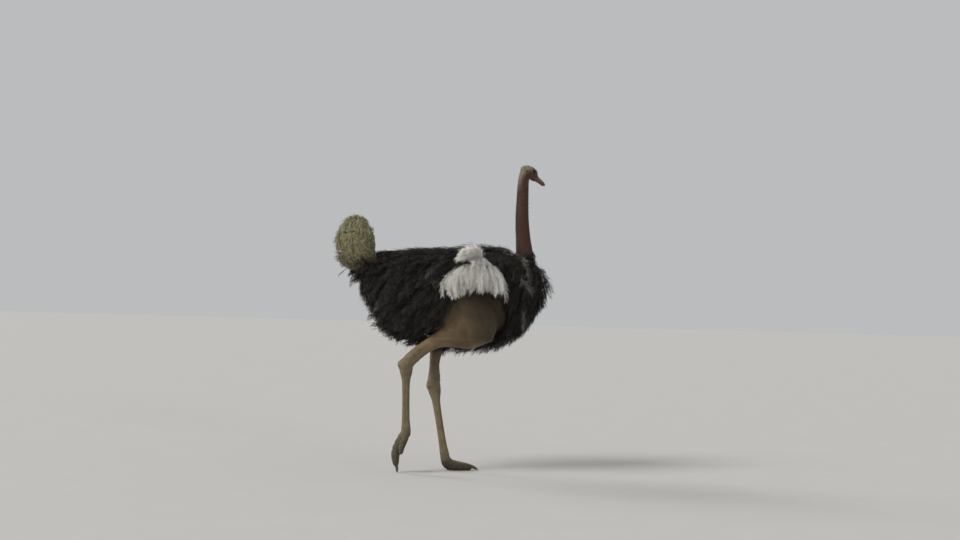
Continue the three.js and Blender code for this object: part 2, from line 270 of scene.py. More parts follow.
@dataclass
class Sleeve:
    """A smooth closed body swept along a path, with an oval section at each station.

    Args:
        stations: rows of x, y, z, half the width and half the depth.
        facing: the way all the sections face, or None where they follow the path.
        egg: how much wider the section's upper part is than its lower part.
        domes: how far the two rounded ends stand out, in half widths.
        shape: gives a factor on the section's size from the place along and the angle round.
    """

    stations: Array
    facing: Array | None = None
    egg: float = 0.0
    domes: Pair = (0.7, 0.7)
    shape: Callable[[Array, Array], Array] | None = None

    def frames(self, u: Array) -> tuple[Array, Array, Array, Array]:
        """The path's place, its direction, and the width and depth directions at u.

        Args:
            u: shares of the way along the path.

        Returns:
            The path's rows there, and the three directions.
        """
        eps = 1e-3
        rows = spline(self.stations, u)
        if self.facing is None:
            ahead = spline(self.stations, np.clip(u + eps, 0, 1))[:, :3]
            along = unit(ahead - spline(self.stations, np.clip(u - eps, 0, 1))[:, :3])
        else:
            along = np.repeat(unit(self.facing)[None], len(u), 0)
        wide = unit(ACROSS - along * (along @ ACROSS)[:, None])
        return rows, along, wide, np.cross(along, wide)

    def at(self, u: Array, angle: Array) -> Array:
        """Points on the body, at a place along it and an angle round it.

        Args:
            u: shares of the way along the path.
            angle: angles round it.

        Returns:
            The points, one a row.
        """
        rows, _, wide, deep = self.frames(u)
        size = np.ones(len(u)) if self.shape is None else self.shape(u, angle)
        across = rows[:, 3] * size * (1 + self.egg * np.sin(angle)) * np.cos(angle)
        down = rows[:, 4] * size * np.sin(angle)
        return rows[:, :3] + wide * across[:, None] + deep * down[:, None]

    def normals(self, u: Array, angle: Array) -> tuple[Array, Array]:
        """The outward normal and the area of a unit of u and angle.

        Args:
            u: shares of the way along the path.
            angle: angles round it.

        Returns:
            The normals, and the areas.
        """
        eu, ea = 2e-3, 5e-3
        du = (self.at(np.clip(u + eu, 0, 1), angle) - self.at(np.clip(u - eu, 0, 1), angle)) / (2 * eu)
        da = (self.at(u, angle + ea) - self.at(u, angle - ea)) / (2 * ea)
        normal = np.cross(du, da)
        area = np.linalg.norm(normal, axis=1)
        away = self.at(u, angle) - spline(self.stations, u)[:, :3]
        return unit(normal) * np.sign((normal * away).sum(1))[:, None], area

    def mesh(self, rings: int, sides: int) -> tuple[Array, list[tuple[int, ...]]]:
        """The body as points and faces, with a dome on each end.

        Args:
            rings: how finely it is cut along.
            sides: how finely it is cut round.

        Returns:
            The points, and the faces as their numbers.
        """
        angle = np.arange(sides) * 2 * math.pi / sides
        body = [self.at(np.full(sides, u), angle) for u in np.linspace(0, 1, rings)]
        turns = [share * math.pi / 2 for share in (0.3, 0.58, 0.82)]
        caps, ends = [], []
        for way, u, rim, dome in ((-1, 0.0, body[0], self.domes[0]), (1, 1.0, body[-1], self.domes[1])):
            rows, along, _, _ = self.frames(np.array([u]))
            middle, step = rows[0, :3], along[0] * way * (dome * min(rows[0, 3], rows[0, 4]))
            caps.append([middle + step * math.sin(a) + (rim - middle) * math.cos(a) for a in turns])
            ends.append(middle + step)
        points = np.vstack([ends[0][None], *caps[0][::-1], *body, *caps[1], ends[1][None]])
        last = len(points) - 1
        faces: list[tuple[int, ...]] = []
        for j in range(sides):
            n = (j + 1) % sides
            faces.append((0, 1 + n, 1 + j))
            for a in range(1, last - sides, sides):
                faces.append((a + j, a + n, a + sides + n, a + sides + j))
            faces.append((last - sides + j, last - sides + n, last))
        return points, faces


# ---- making and finishing objects ----


def deselect() -> None:
    """Leaves edit mode and nothing selected."""
    if bpy.context.object is not None and bpy.context.object.mode != "OBJECT":
        bpy.ops.object.mode_set(mode="OBJECT")
    bpy.ops.object.select_all(action="DESELECT")


def pick(obj: Object) -> None:
    """Selects one object only and makes it active."""
    deselect()
    obj.select_set(True)
    bpy.context.view_layer.objects.active = obj


def into_scene(name: str, data: bpy.types.ID) -> Object:
    """A new object in the scene that holds this data."""
    obj = bpy.data.objects.new(name, data)
    bpy.context.scene.collection.objects.link(obj)
    return obj


def new_object(name: str, points: Array, faces: Sequence[Sequence[int]]) -> Object:
    """A mesh object in the scene from points and faces.

    Args:
        name: the object's name.
        points: the mesh's points.
        faces: faces, as numbers of points.

    Returns:
        The object.
    """
    mesh = bpy.data.meshes.new(name)
    mesh.from_pydata([tuple(p) for p in points], [], [tuple(f) for f in faces])
    mesh.update()
    return into_scene(name, mesh)


def join(name: str, objects: Sequence[Object]) -> Object:
    """Joins objects into one of that name.

    Args:
        name: the joined object's name.
        objects: the objects to join.

    Returns:
        The joined object.
    """
    deselect()
    for obj in objects:
        obj.select_set(True)
    bpy.context.view_layer.objects.active = objects[0]
    bpy.ops.object.join()
    objects[0].name = name
    objects[0].data.name = name
    return objects[0]


def apply_modifier(obj: Object, kind: str, **settings: object) -> None:
    """Adds a modifier with these settings and applies it.

    Args:
        obj: the mesh object.
        kind: the modifier's type.
        settings: its settings, by name.
    """
    pick(obj)
    modifier = obj.modifiers.new(kind.lower(), kind)
    for key, value in settings.items():
        setattr(modifier, key, value)
    bpy.ops.object.modifier_apply(modifier=modifier.name)


def outward(obj: Object) -> None:
    """Turns all the faces of a closed mesh outwards.

    Args:
        obj: the mesh object.
    """
    pick(obj)
    bpy.ops.object.mode_set(mode="EDIT")
    bpy.ops.mesh.select_all(action="SELECT")
    bpy.ops.mesh.normals_make_consistent(inside=False)
    bpy.ops.object.mode_set(mode="OBJECT")


def read_rows(items: bpy.types.bpy_prop_collection, word: str) -> Array:
    """The three numbers that each of a mesh's items holds under this word, as rows."""
    flat = np.empty(len(items) * 3, np.float32)
    items.foreach_get(word, flat)
    return flat.reshape(-1, 3).astype(float)


def places(obj: Object) -> Array:
    """The mesh's points as rows."""
    return read_rows(obj.data.vertices, "co")


def point_normals(obj: Object) -> Array:
    """The mesh's point normals as rows."""
    return read_rows(obj.data.vertex_normals, "vector")


def move_to(obj: Object, points: Array) -> None:
    """Puts the mesh's points at these places."""
    obj.data.vertices.foreach_set("co", points.astype(np.float32).ravel())
    obj.data.update()


def note(obj: Object, name: str, values: Array) -> None:
    """Stores a number for each point of the mesh, for its material to read."""
    layer = obj.data.attributes.new(name, "FLOAT", "POINT")
    layer.data.foreach_set("value", values.astype(np.float32))


def finish_piece(obj: Object, slot: str, material: Material, *nodes: str) -> None:
    """Dresses a piece, hides the nodes it stands for, and rides it on the body.

    Args:
        obj: the mesh object.
        slot: not used.
        material: the material it gets.
        nodes: the nodes it stands for.
    """
    obj.data.materials.clear()
    obj.data.materials.append(material)
    obj.data.polygons.foreach_set("use_smooth", np.ones(len(obj.data.polygons), bool))
    obj.data.update()
    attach(obj, "root")
    if nodes:
        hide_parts(*nodes)
    LOG.info("%s: %d faces", obj.name, len(obj.data.polygons))


# ---- tufts: thin closed spindles, the stuff of every feather ----


class Columns:
    """Columns with one row for each member."""

    def only(self, wanted: Array) -> Self:
        """The wanted members."""
        return type(self)(*(column[wanted] for column in vars(self).values()))


@dataclass
class Strands(Columns):
    """Many thin spindles, each a line of places with a half width, that make one mesh.

    Args:
        line: N lines of K places.
        width: N rows of K half widths. The last is not used, as each spindle ends in a point.
        flat: the direction across each blade, one per line.
        root_map: each tuft's place on the unwrapped skin.
        tone: how light or dark each tuft is, from 0 to 1.
        mark: how far each tuft takes its finish's marked colour.
        tip: how far along its own feather each tuft stands.
    """

    line: Array
    width: Array
    flat: Array
    root_map: Array
    tone: Array
    mark: Array
    tip: Array


def strand_arrays(s: Strands, thickness: float) -> tuple[Array, Array, Array, Array]:
    """Points, triangles, bake places and point notes of strands.

    Args:
        s: the strands.
        thickness: the blade's depth as a share of its half width.

    Returns:
        Points, triangles, one map place per point, and tone, mark and tip per point.
    """
    count, steps = s.line.shape[:2]
    tangent = unit(np.gradient(s.line, axis=1))
    flat = s.flat[:, None, :]
    side = unit(flat - tangent * (flat * tangent).sum(-1, keepdims=True))
    out = np.cross(tangent, side)
    w = s.width[..., None]
    ring = np.stack([s.line + side * w, s.line - side * w, s.line + out * w * thickness], axis=2)
    points = np.concatenate([ring[:, :-1].reshape(count, -1, 3), s.line[:, -1:]], axis=1)
    per = points.shape[1]
    tris = [(0, 1, 2)]
    for k in range(steps - 2):
        for j in range(3):
            a, b = 3 * k + j, 3 * k + (j + 1) % 3
            tris += [(a, a + 3, b + 3), (a, b + 3, b)]
    for j in range(3):
        a, b = 3 * (steps - 2) + j, 3 * (steps - 2) + (j + 1) % 3
        tris.append((a, per - 1, b))
    index = (np.arange(count)[:, None, None] * per + np.array(tris)[None]).reshape(-1, 3)
    # one corner lies lower on the map, which gives the root's cap a place of its own
    corners = [(j, k / (steps - 1) - 0.5) for k in range(steps - 1) for j in range(3)]
    local = np.array([((j - 1) * 0.5, up - 0.2 * (j == 1)) for j, up in corners] + [(0.0, 0.5)]) * PATCH
    maps = (s.root_map[:, None, :] + local[None]).reshape(-1, 2)
    along = np.append(np.repeat(np.arange(steps - 1) / (steps - 1), 3), 1.0)
    tip = s.tip[:, None] + (1 - s.tip[:, None]) * 0.6 * along[None]
    notes = np.stack([np.repeat(s.tone, per), np.repeat(s.mark, per), tip.ravel()], axis=1)
    return points.reshape(-1, 3), index, maps, notes


def strand_object(name: str, groups: Sequence[Strands], thickness: float = 0.35) -> Object:
    """One mesh object of all these strands, with its bake map and the notes its material reads.

    Args:
        name: the object's name.
        groups: the strands, in groups.
        thickness: the blade's depth as a share of its half width.

    Returns:
        The object.
    """
    made = [strand_arrays(s, thickness) for s in groups if len(s.line)]
    starts = np.cumsum([0] + [len(m[0]) for m in made[:-1]])
    points = np.vstack([m[0] for m in made])
    tris = np.vstack([m[1] + start for m, start in zip(made, starts)])
    maps = np.clip(np.vstack([m[2] for m in made]), 0.001, 0.999)
    notes = np.vstack([m[3] for m in made])
    mesh = bpy.data.meshes.new(name)
    mesh.vertices.add(len(points))
    mesh.vertices.foreach_set("co", points.astype(np.float32).ravel())
    mesh.loops.add(tris.size)
    mesh.loops.foreach_set("vertex_index", tris.astype(np.int32).ravel())
    mesh.polygons.add(len(tris))
    mesh.polygons.foreach_set("loop_start", (np.arange(len(tris)) * 3).astype(np.int32))
    mesh.update(calc_edges=True)
    layer = mesh.uv_layers.new(name=BAKE_MAP)
    layer.data.foreach_set("uv", maps[tris.ravel()].astype(np.float32).ravel())
    obj = into_scene(name, mesh)
    for column, word in enumerate(("tone", "mark", "tip")):
        note(obj, word, notes[:, column])
    return obj


@dataclass
class Roots(Columns):
    """Where tufts grow from a body.

    Args:
        place: the points on the skin.
        normal: the outward directions there.
        where: the place along and the angle round of each root.
        map: each root's place on the unwrapped skin.
    """

    place: Array
    normal: Array
    where: Array
    map: Array


def scatter(sleeve: Sleeve, spacing: float, seed: int, reach: Pair, turn: Pair) -> Roots:
    """Roots spread evenly over a body by area.

    Args:
        sleeve: the body.
        spacing: the mean distance between roots.
        seed: picks the pattern.
        reach: the stretch of the body, as shares of its path.
        turn: the angles round the body, in degrees.

    Returns:
        The roots.
    """
    low, high = np.array([reach, np.radians(turn)]).T
    size = high - low
    probe = low + spread_2d(1500, seed) * size
    top = float(np.quantile(sleeve.normals(*probe.T)[1], 0.995))
    count = int(top * size.prod() / spacing**2)
    where = low + spread_2d(count, seed + 1) * size
    normal, area = sleeve.normals(*where.T)
    wanted = np.random.default_rng(seed).random(count) * top < area
    maps = 0.02 + (where - low) / size * 0.96
    return Roots(sleeve.at(*where.T), normal, where, maps).only(wanted)


@dataclass(frozen=True)
class PlumeKind:
    """How one kind of plume grows.

    Args:
        length: of the shaft.
        rise: the shaft's angle off the skin at its root.
        settle: that angle at its tip.
        sag: how strongly the tip is drawn down.
        barbs: the number of barbs on each side.
        barb_length: of the longest barbs.
        barb_width: half the width of a barb.
        shaft_width: half the width of the shaft at its root.
        spread: the barbs' angle off the shaft near its root.
        loose: how far barbs stray from their places.
        wander: how far shafts stray from the lie.
        droop: how strongly barbs are drawn down.
        curl: how far barbs curl under at their tips.
        sweep: how far barbs turn along the shaft.
        narrow: how much nearer the shaft barbs lie at its tip.
        bare: how much of the shaft has no barbs at its root.
        steps: points along the shaft.
        barb_steps: points along a barb.
    """

    length: float
    rise: float = 0.6
    settle: float = 0.0
    sag: float = 0.3
    barbs: int = 10
    barb_length: float = 0.06
    barb_width: float = 0.0024
    shaft_width: float = 0.002
    spread: float = 0.95
    loose: float = 0.28
    wander: float = 0.2
    droop: float = 0.25
    curl: float = 0.0
    sweep: float = 0.6
    narrow: float = 0.62
    bare: float = 0.1
    steps: int = 6
    barb_steps: int = 3


def shafts(roots: Roots, lie: Array, kind: PlumeKind, length: Array, rng: Rng) -> Array:
    """The lines of plume shafts that leave the skin, lie along it and sag at their tips.

    Args:
        roots: where they grow.
        lie: the direction each lies in.
        kind: the kind of plume.
        length: the length of each.
        rng: the source of small differences.

    Returns:
        One line of kind.steps places for each root.
    """
    lie = unit(lie - roots.normal * (lie * roots.normal).sum(1, keepdims=True))
    side = np.cross(roots.normal, lie)
    lie = unit(lie + side * rng.normal(0, kind.wander, (len(lie), 1)))
    s = np.linspace(0, 1, kind.steps)[1:]
    angle = kind.rise * (1 - s) ** 1.3 + kind.settle * s
    angle = angle[None] * (1 + rng.normal(0, 0.16, (len(lie), 1)))
    step = lie[:, None] * np.cos(angle)[..., None] + roots.normal[:, None] * np.sin(angle)[..., None]
    step = unit(step - UP * kind.sag * (s[None, :, None] ** 1.2))
    path = np.cumsum(step * (length / (kind.steps - 1))[:, None, None], axis=1)
    start = roots.place - roots.normal * 0.004
    return np.concatenate([start[:, None], start[:, None] + path], axis=1)


def along_lines(lines: Array, s: Array) -> tuple[Array, Array]:
    """Places and directions at shares s of each line, with one row of shares for each line.

    Args:
        lines: points along each line.
        s: shares of the way along each line.

    Returns:
        The places, and the directions.
    """
    steps = lines.shape[1]
    x = np.clip(s, 0, 1) * (steps - 1)
    i = np.minimum(x.astype(int), steps - 2)
    t = (x - i)[..., None]
    row = np.arange(len(lines))[:, None]
    a, b = lines[row, i], lines[row, i + 1]
    return a + (b - a) * t, unit(b - a)


def arched(ends: Array, steps: int, waves: float, rng: Rng) -> Array:
    """Slightly wavy shafts that bend over from their roots to their ends.

    Args:
        ends: the root, the place each bends towards and the end.
        steps: points along each.
        waves: how fast the waves run along them.
        rng: the source of small differences.

    Returns:
        One line of places for each shaft.
    """
    t = np.linspace(0, 1, steps)[None, :, None]
    a, b, c = ends[:, None, 0], ends[:, None, 1], ends[:, None, 2]
    path = a * (1 - t) ** 2 + b * 2 * t * (1 - t) + c * t**2
    wave = np.sin(t * waves + rng.random((len(ends), 1, 1)) * 6) * 0.006 * t
    return path + wave * rng.normal(0, 1, (len(ends), 1, 3))


def feather(
    lines: Array, normal: Array, kind: PlumeKind, maps: Array, tone: Array, mark: Array, rng: Rng,
    keep: Callable[[Array], Array],
) -> list[Strands]:
    """The shafts and barbs of plumes along these lines.

    Args:
        lines: the shafts.
        normal: the direction each plume's face turns to.
        kind: the kind of plume.
        maps: each plume's place on the unwrapped skin.
        tone: the lightness of each plume.
        mark: how pale each plume is.
        rng: the source of small differences.
        keep: tells which barbs' places may stay.

    Returns:
        The strands of the shafts and those of the barbs.
    """
    count, steps = lines.shape[:2]
    taper = np.repeat(np.linspace(1, 0.25, steps)[None] * kind.shaft_width, count, 0)
    side = unit(np.cross(normal, unit(lines[:, -1] - lines[:, 0])))
    shaft = Strands(lines, taper, side, maps, tone, mark, np.zeros(count))
    m = kind.barbs
    s = np.linspace(kind.bare, 1.0, m)[None] + rng.normal(0, 0.35 / m, (count, m))
    s = np.clip(np.concatenate([s, s + rng.normal(0, 0.2 / m, s.shape)], axis=1), 0.04, 1.0)
    base, tangent = along_lines(lines, s)
    way = np.repeat([1.0, -1.0], m)[None, :, None]
    across = unit(np.cross(normal[:, None], tangent))
    over = np.cross(tangent, across)
    angle = (kind.spread * (1 - kind.narrow * s) * (1 + rng.normal(0, 0.18, s.shape)))[..., None]
    lift = rng.normal(0.05, kind.loose, s.shape)[..., None]
    start = unit(tangent * np.cos(angle) + across * way * np.sin(angle) + over * lift)
    bend = rng.normal(0, kind.loose * 0.6, start.shape)
    end = unit(start * 0.45 + tangent * kind.sweep - over * kind.curl - UP * kind.droop + bend)
    swell = 0.5 + 0.5 * np.sin(math.pi * (0.12 + 0.72 * s))
    length = (kind.barb_length * swell * (1 + rng.normal(0, 0.16, s.shape)))[..., None, None]
    t = np.linspace(0, 1, kind.barb_steps)[None, None, :, None]
    line = base[:, :, None] + length * (start[:, :, None] * t + (end - start)[:, :, None] * t**2 * 0.5)
    total = count * 2 * m
    profile = np.interp(np.linspace(0, 1, kind.barb_steps), [0, 0.35, 0.75, 1], [0.6, 1, 0.72, 0])
    width = kind.barb_width * profile[None] * (1 + rng.normal(0, 0.12, (total, 1)))
    flat = unit(np.cross(over, start) + rng.normal(0, 0.3, start.shape))
    offset = (rng.random((total, 2)) - 0.5) * 2 * PATCH
    tones = np.clip(np.repeat(tone, 2 * m) + rng.normal(0, 0.07, total), 0, 1)
    line, flat, maps = line.reshape(total, -1, 3), flat.reshape(total, 3), np.repeat(maps, 2 * m, 0) + offset
    barbs = Strands(line, width, flat, maps, tones, np.repeat(mark, 2 * m), s.ravel())
    wanted = keep(barbs.line[:, -1]) & keep(barbs.line[:, kind.barb_steps // 2])
    return [shaft, barbs.only(wanted)]


# ---- materials ----


class NodeTree:
    """Adds nodes to a material or group in the order they are wanted."""

    def __init__(self, tree: bpy.types.NodeTree) -> None:
        """Starts on an empty tree."""
        self.tree = tree

    def feed(self, node: Node, values: dict[str | int, object]) -> None:
        """Links a node's inputs to output sockets, or gives them plain values.

        Args:
            node: the node to feed.
            values: sockets or plain values, by input.
        """
        for key, value in values.items():
            if isinstance(value, NodeSocket):
                self.tree.links.new(value, node.inputs[key])
            else:
                node.inputs[key].default_value = value

    def add(self, kind: str, values: dict[str | int, object] | None = None, **settings: object) -> Node:
        """A node with its properties set and its inputs fed.

        Args:
            kind: the node's type.
            values: what feeds its inputs, by their names or numbers.
            **settings: the node's own properties.

        Returns:
            The node.
        """
        made = self.tree.nodes.new(kind)
        for key, value in settings.items():
            setattr(made, key, value)
        self.feed(made, values or {})
        return made

    def attribute(self, name: str) -> NodeSocket:
        """The number that the mesh holds under this name."""
        return self.add("ShaderNodeAttribute", attribute_name=name).outputs["Fac"]

    def math(self, operation: str, a: object, b: object) -> NodeSocket:
        """A sum, product or difference of two numbers."""
        return self.add("ShaderNodeMath", {0: a, 1: b}, operation=operation).outputs[0]

    def times(self, a: object, b: object) -> NodeSocket:
        """The product of two numbers."""
        return self.math("MULTIPLY", a, b)

    def mix(self, share: object, a: object, b: object) -> NodeSocket:
        """Two colours mixed by share."""
        return self.add("ShaderNodeMix", {0: share, 6: a, 7: b}, data_type="RGBA").outputs[2]

    def noise(self, at: NodeSocket, scale: object, detail: float, distortion: float = 0.0) -> Node:
        """Soft noise round one half.

        Args:
            at: the coordinates' socket.
            scale: how fine it is, as a number or a socket.
            detail: how many finer layers it has.
            distortion: how far it is warped.

        Returns:
            The noise's node.
        """
        values = {"Vector": at, "Scale": scale, "Detail": detail, "Distortion": distortion}
        return self.add("ShaderNodeTexNoise", values)

    def ramp(self, value: object, *stops: Pair) -> NodeSocket:
        """A number mapped through straight stretches between the stops, each a place and a level.

        Args:
            value: the number's socket.
            stops: pairs of a place and a level.

        Returns:
            The mapped number's socket.
        """
        made = self.add("ShaderNodeValToRGB", {"Fac": value})
        while len(made.color_ramp.elements) < len(stops):
            made.color_ramp.elements.new(0.5)
        for element, (at, level) in zip(made.color_ramp.elements, stops):
            element.position = at
            element.color = (level, level, level, 1)
        return made.outputs["Color"]


def rgb(r: float, g: float, b: float) -> Colour:
    """A colour with full alpha."""
    return (r, g, b, 1.0)


class Group(NodeTree):
    """A shader node group, with its two ends."""

    def __init__(self, name: str, inputs: Sequence[tuple], outputs: Sequence[tuple]) -> None:
        """Makes the group with these sockets.

        Args:
            name: the group's name.
            inputs: name, kind and starting value of each input.
            outputs: name and kind of each output.
        """
        super().__init__(bpy.data.node_groups.new(name, "ShaderNodeTree"))
        for label, kind, value in inputs:
            socket = self.tree.interface.new_socket(label, in_out="INPUT", socket_type=f"NodeSocket{kind}")
            if kind != "Vector":
                socket.default_value = value
        for label, kind in outputs:
            self.tree.interface.new_socket(label, in_out="OUTPUT", socket_type=f"NodeSocket{kind}")
        self.start = self.add("NodeGroupInput").outputs
        self.end = self.add("NodeGroupOutput")


class Effects:
    """The shader groups that several finishes share."""

    def __init__(self) -> None:
        """Builds the groups."""
        self.mottle = self.make_mottle()
        self.pebbles = self.make_pebbles()
        self.plume = self.make_plume()

    @staticmethod
    def make_mottle() -> bpy.types.NodeTree:
        """Cloudy patches and fine speckle between two colours.

        Returns:
            The group's tree.
        """
        inputs = [("Vector", "Vector", None), ("Scale", "Float", 20.0), ("Base", "Color", rgb(0, 0, 0)),
                  ("Patch", "Color", rgb(1, 1, 1)), ("Amount", "Float", 0.5)]
        g = Group("mottle", inputs, [("Colour", "Color"), ("Mask", "Float")])
        i = g.start
        cloud = g.noise(i["Vector"], i["Scale"], 5.0)
        speck = g.noise(i["Vector"], g.times(i["Scale"], 9.0), 3.0)
        both = g.math("ADD", g.times(cloud.outputs["Fac"], 0.7), g.times(speck.outputs["Fac"], 0.3))
        mask = g.times(g.ramp(both, (0.36, 0.0), (0.64, 1.0)), i["Amount"])
        g.feed(g.end, {"Colour": g.mix(mask, i["Base"], i["Patch"]), "Mask": mask})
        return g.tree

    @staticmethod
    def make_pebbles() -> bpy.types.NodeTree:
        """The height of small rounded grains with creases between them, over broader wrinkles.

        Returns:
            The group's tree.
        """
        inputs = [("Vector", "Vector", None), ("Grain", "Float", 400.0), ("Wrinkle", "Float", 0.4)]
        g = Group("pebbles", inputs, [("Height", "Float"), ("Crease", "Float")])
        i = g.start
        warp = g.noise(i["Vector"], 60.0, 2.0).outputs["Color"]
        shift = g.add("ShaderNodeVectorMath", {0: warp, "Scale": 0.006}, operation="SCALE").outputs[0]
        at = g.add("ShaderNodeVectorMath", {0: i["Vector"], 1: shift}, operation="ADD").outputs[0]
        cell = g.add("ShaderNodeTexVoronoi", {"Vector": at, "Scale": i["Grain"]}, feature="DISTANCE_TO_EDGE")
        crease = g.ramp(cell.outputs["Distance"], (0.0, 0.0), (0.22, 1.0))
        fold = g.times(g.noise(at, 85.0, 4.0).outputs["Fac"], i["Wrinkle"])
        g.feed(g.end, {"Height": g.math("ADD", crease, fold), "Crease": crease})
        return g.tree

    @staticmethod
    def make_plume() -> bpy.types.NodeTree:
        """A plume's colour from how light it is, how marked it is and how near its tip.

        Returns:
            The group's tree.
        """
        inputs = [(n, "Color", rgb(0, 0, 0)) for n in ("Dark", "Light", "Marked", "Tip")]
        inputs += [(n, "Float", 0.0) for n in ("Tone", "Mark", "Along", "Tip share")]
        g = Group("plume_colour", inputs, [("Colour", "Color")])
        i = g.start
        body = g.mix(i["Tone"], i["Dark"], i["Light"])
        end = g.times(g.ramp(i["Along"], (0.45, 0.0), (1.0, 1.0)), i["Tip share"])
        g.feed(g.end, {"Colour": g.mix(end, g.mix(i["Mark"], body, i["Marked"]), i["Tip"])})
        return g.tree


class Paint(NodeTree):
    """A material with a Principled shader, and the nodes that feed it."""

    def __init__(self, name: str) -> None:
        """Starts the material, with its shader linked to its output.

        Args:
            name: the material's name.
        """
        self.material = bpy.data.materials.new(name)
        self.material.use_nodes = True
        self.material.node_tree.nodes.clear()
        super().__init__(self.material.node_tree)
        self.shader = self.add("ShaderNodeBsdfPrincipled")
        self.add("ShaderNodeOutputMaterial", {"Surface": self.shader.outputs[0]})

    def here(self) -> NodeSocket:
        """The place on the piece."""
        return self.add("ShaderNodeTexCoord").outputs["Object"]

    def mottled(self, effects: Effects, at: NodeSocket, scale: float, *sorts: object) -> Node:
        """The mottle of a size and these colours.

        Args:
            effects: the shared effects.
            at: the coordinates' socket.
            scale: how fine it is.
            sorts: the base, the patches' colour and their amount.

        Returns:
            The mottle's node.
        """
        values = dict(zip(("Vector", "Scale", "Base", "Patch", "Amount"), (at, scale, *sorts)))
        return self.add("ShaderNodeGroup", values, node_tree=effects.mottle)

    def relief(self, height: NodeSocket, strength: float, distance: float) -> NodeSocket:
        """The normals that a height gives the surface."""
        values = {"Height": height, "Strength": strength, "Distance": distance}
        return self.add("ShaderNodeBump", values).outputs["Normal"]

    def done(self, values: dict[str | int, object]) -> Material:
        """Feeds the shader's inputs and gives the material."""
        self.feed(self.shader, values)
        return self.material


@dataclass(frozen=True)
class PlumeFinish:
    """The finish of one kind of plumage.

    Args:
        name: of the material.
        dark: the colour of the darkest plumes.
        light: the colour of the lightest.
        marked: the colour of a marked plume.
        tip: the colour its tips take.
        tip_share: how far the tips take it.
        roughness: of the barbs.
        sheen: the soft light along their edges.
    """

    name: str
    dark: Colour
    light: Colour
    marked: Colour
    tip: Colour
    tip_share: float
    roughness: float
    sheen: float

    def build(self, effects: Effects) -> Material:
        """Makes the material.

        Args:
            effects: the shared effects.

        Returns:
            The material.
        """
        t = Paint(self.name)
        values = {"Dark": self.dark, "Light": self.light, "Marked": self.marked, "Tip": self.tip,
                  "Tone": t.attribute("tone"), "Mark": t.attribute("mark"), "Along": t.attribute("tip"),
                  "Tip share": self.tip_share}
        colour = t.add("ShaderNodeGroup", values, node_tree=effects.plume).outputs["Colour"]
        return t.done({"Base Color": colour, "Roughness": self.roughness, "Specular IOR Level": 0.35,
                       "Sheen Weight": self.sheen, "Sheen Roughness": 0.5, "Sheen Tint": self.light})


# ---- the flesh under the feathers ----


@dataclass(frozen=True)
class Head:
    """The head's own frame: forward along the bill, to the left, and up through the crown."""

    occiput: Triple = (0.588, 0.0, 2.046)
    pitch: float = math.radians(24)

    @staticmethod
    def on_head(rows: Rows) -> Array:
        """Rows that start with a place in the head's frame, carried to the hips' frame.

        Args:
            rows: rows that start with a place.

        Returns:
            The rows, carried over.
        """
        out = np.array(rows, float)
        c, s = math.cos(Head.pitch), math.sin(Head.pitch)
        ahead, _, up = out[:, :3].T.copy()
        out[:, 0] = Head.occiput[0] + ahead * c + up * s
        out[:, 2] = Head.occiput[2] - ahead * s + up * c
        return out

    @staticmethod
    def to_head(points: Array, plan: Plan) -> Array:
        """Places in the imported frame, carried to the head's frame."""
        c, s = math.cos(Head.pitch), math.sin(Head.pitch)
        x, y, z = (plan.from_hips(points) - np.array(Head.occiput)).T
        return np.stack([x * c - z * s, y, x * s + z * c], axis=1)

    @staticmethod
    def crown_share(normals: Array) -> Array:
        """How far each direction faces the back and top of the head, where the down grows and is paler,
        partly by painted light.
        """
        ahead, up = Head.axes()
        return ease(-0.1, 0.4, normals @ unit(up * 0.72 - ahead * 0.68))

    @staticmethod
    def axes() -> tuple[Array, Array]:
        """The head's forward and up directions."""
        c, s = math.cos(Head.pitch), math.sin(Head.pitch)
        return np.array([c, 0, -s]), np.array([s, 0, c])


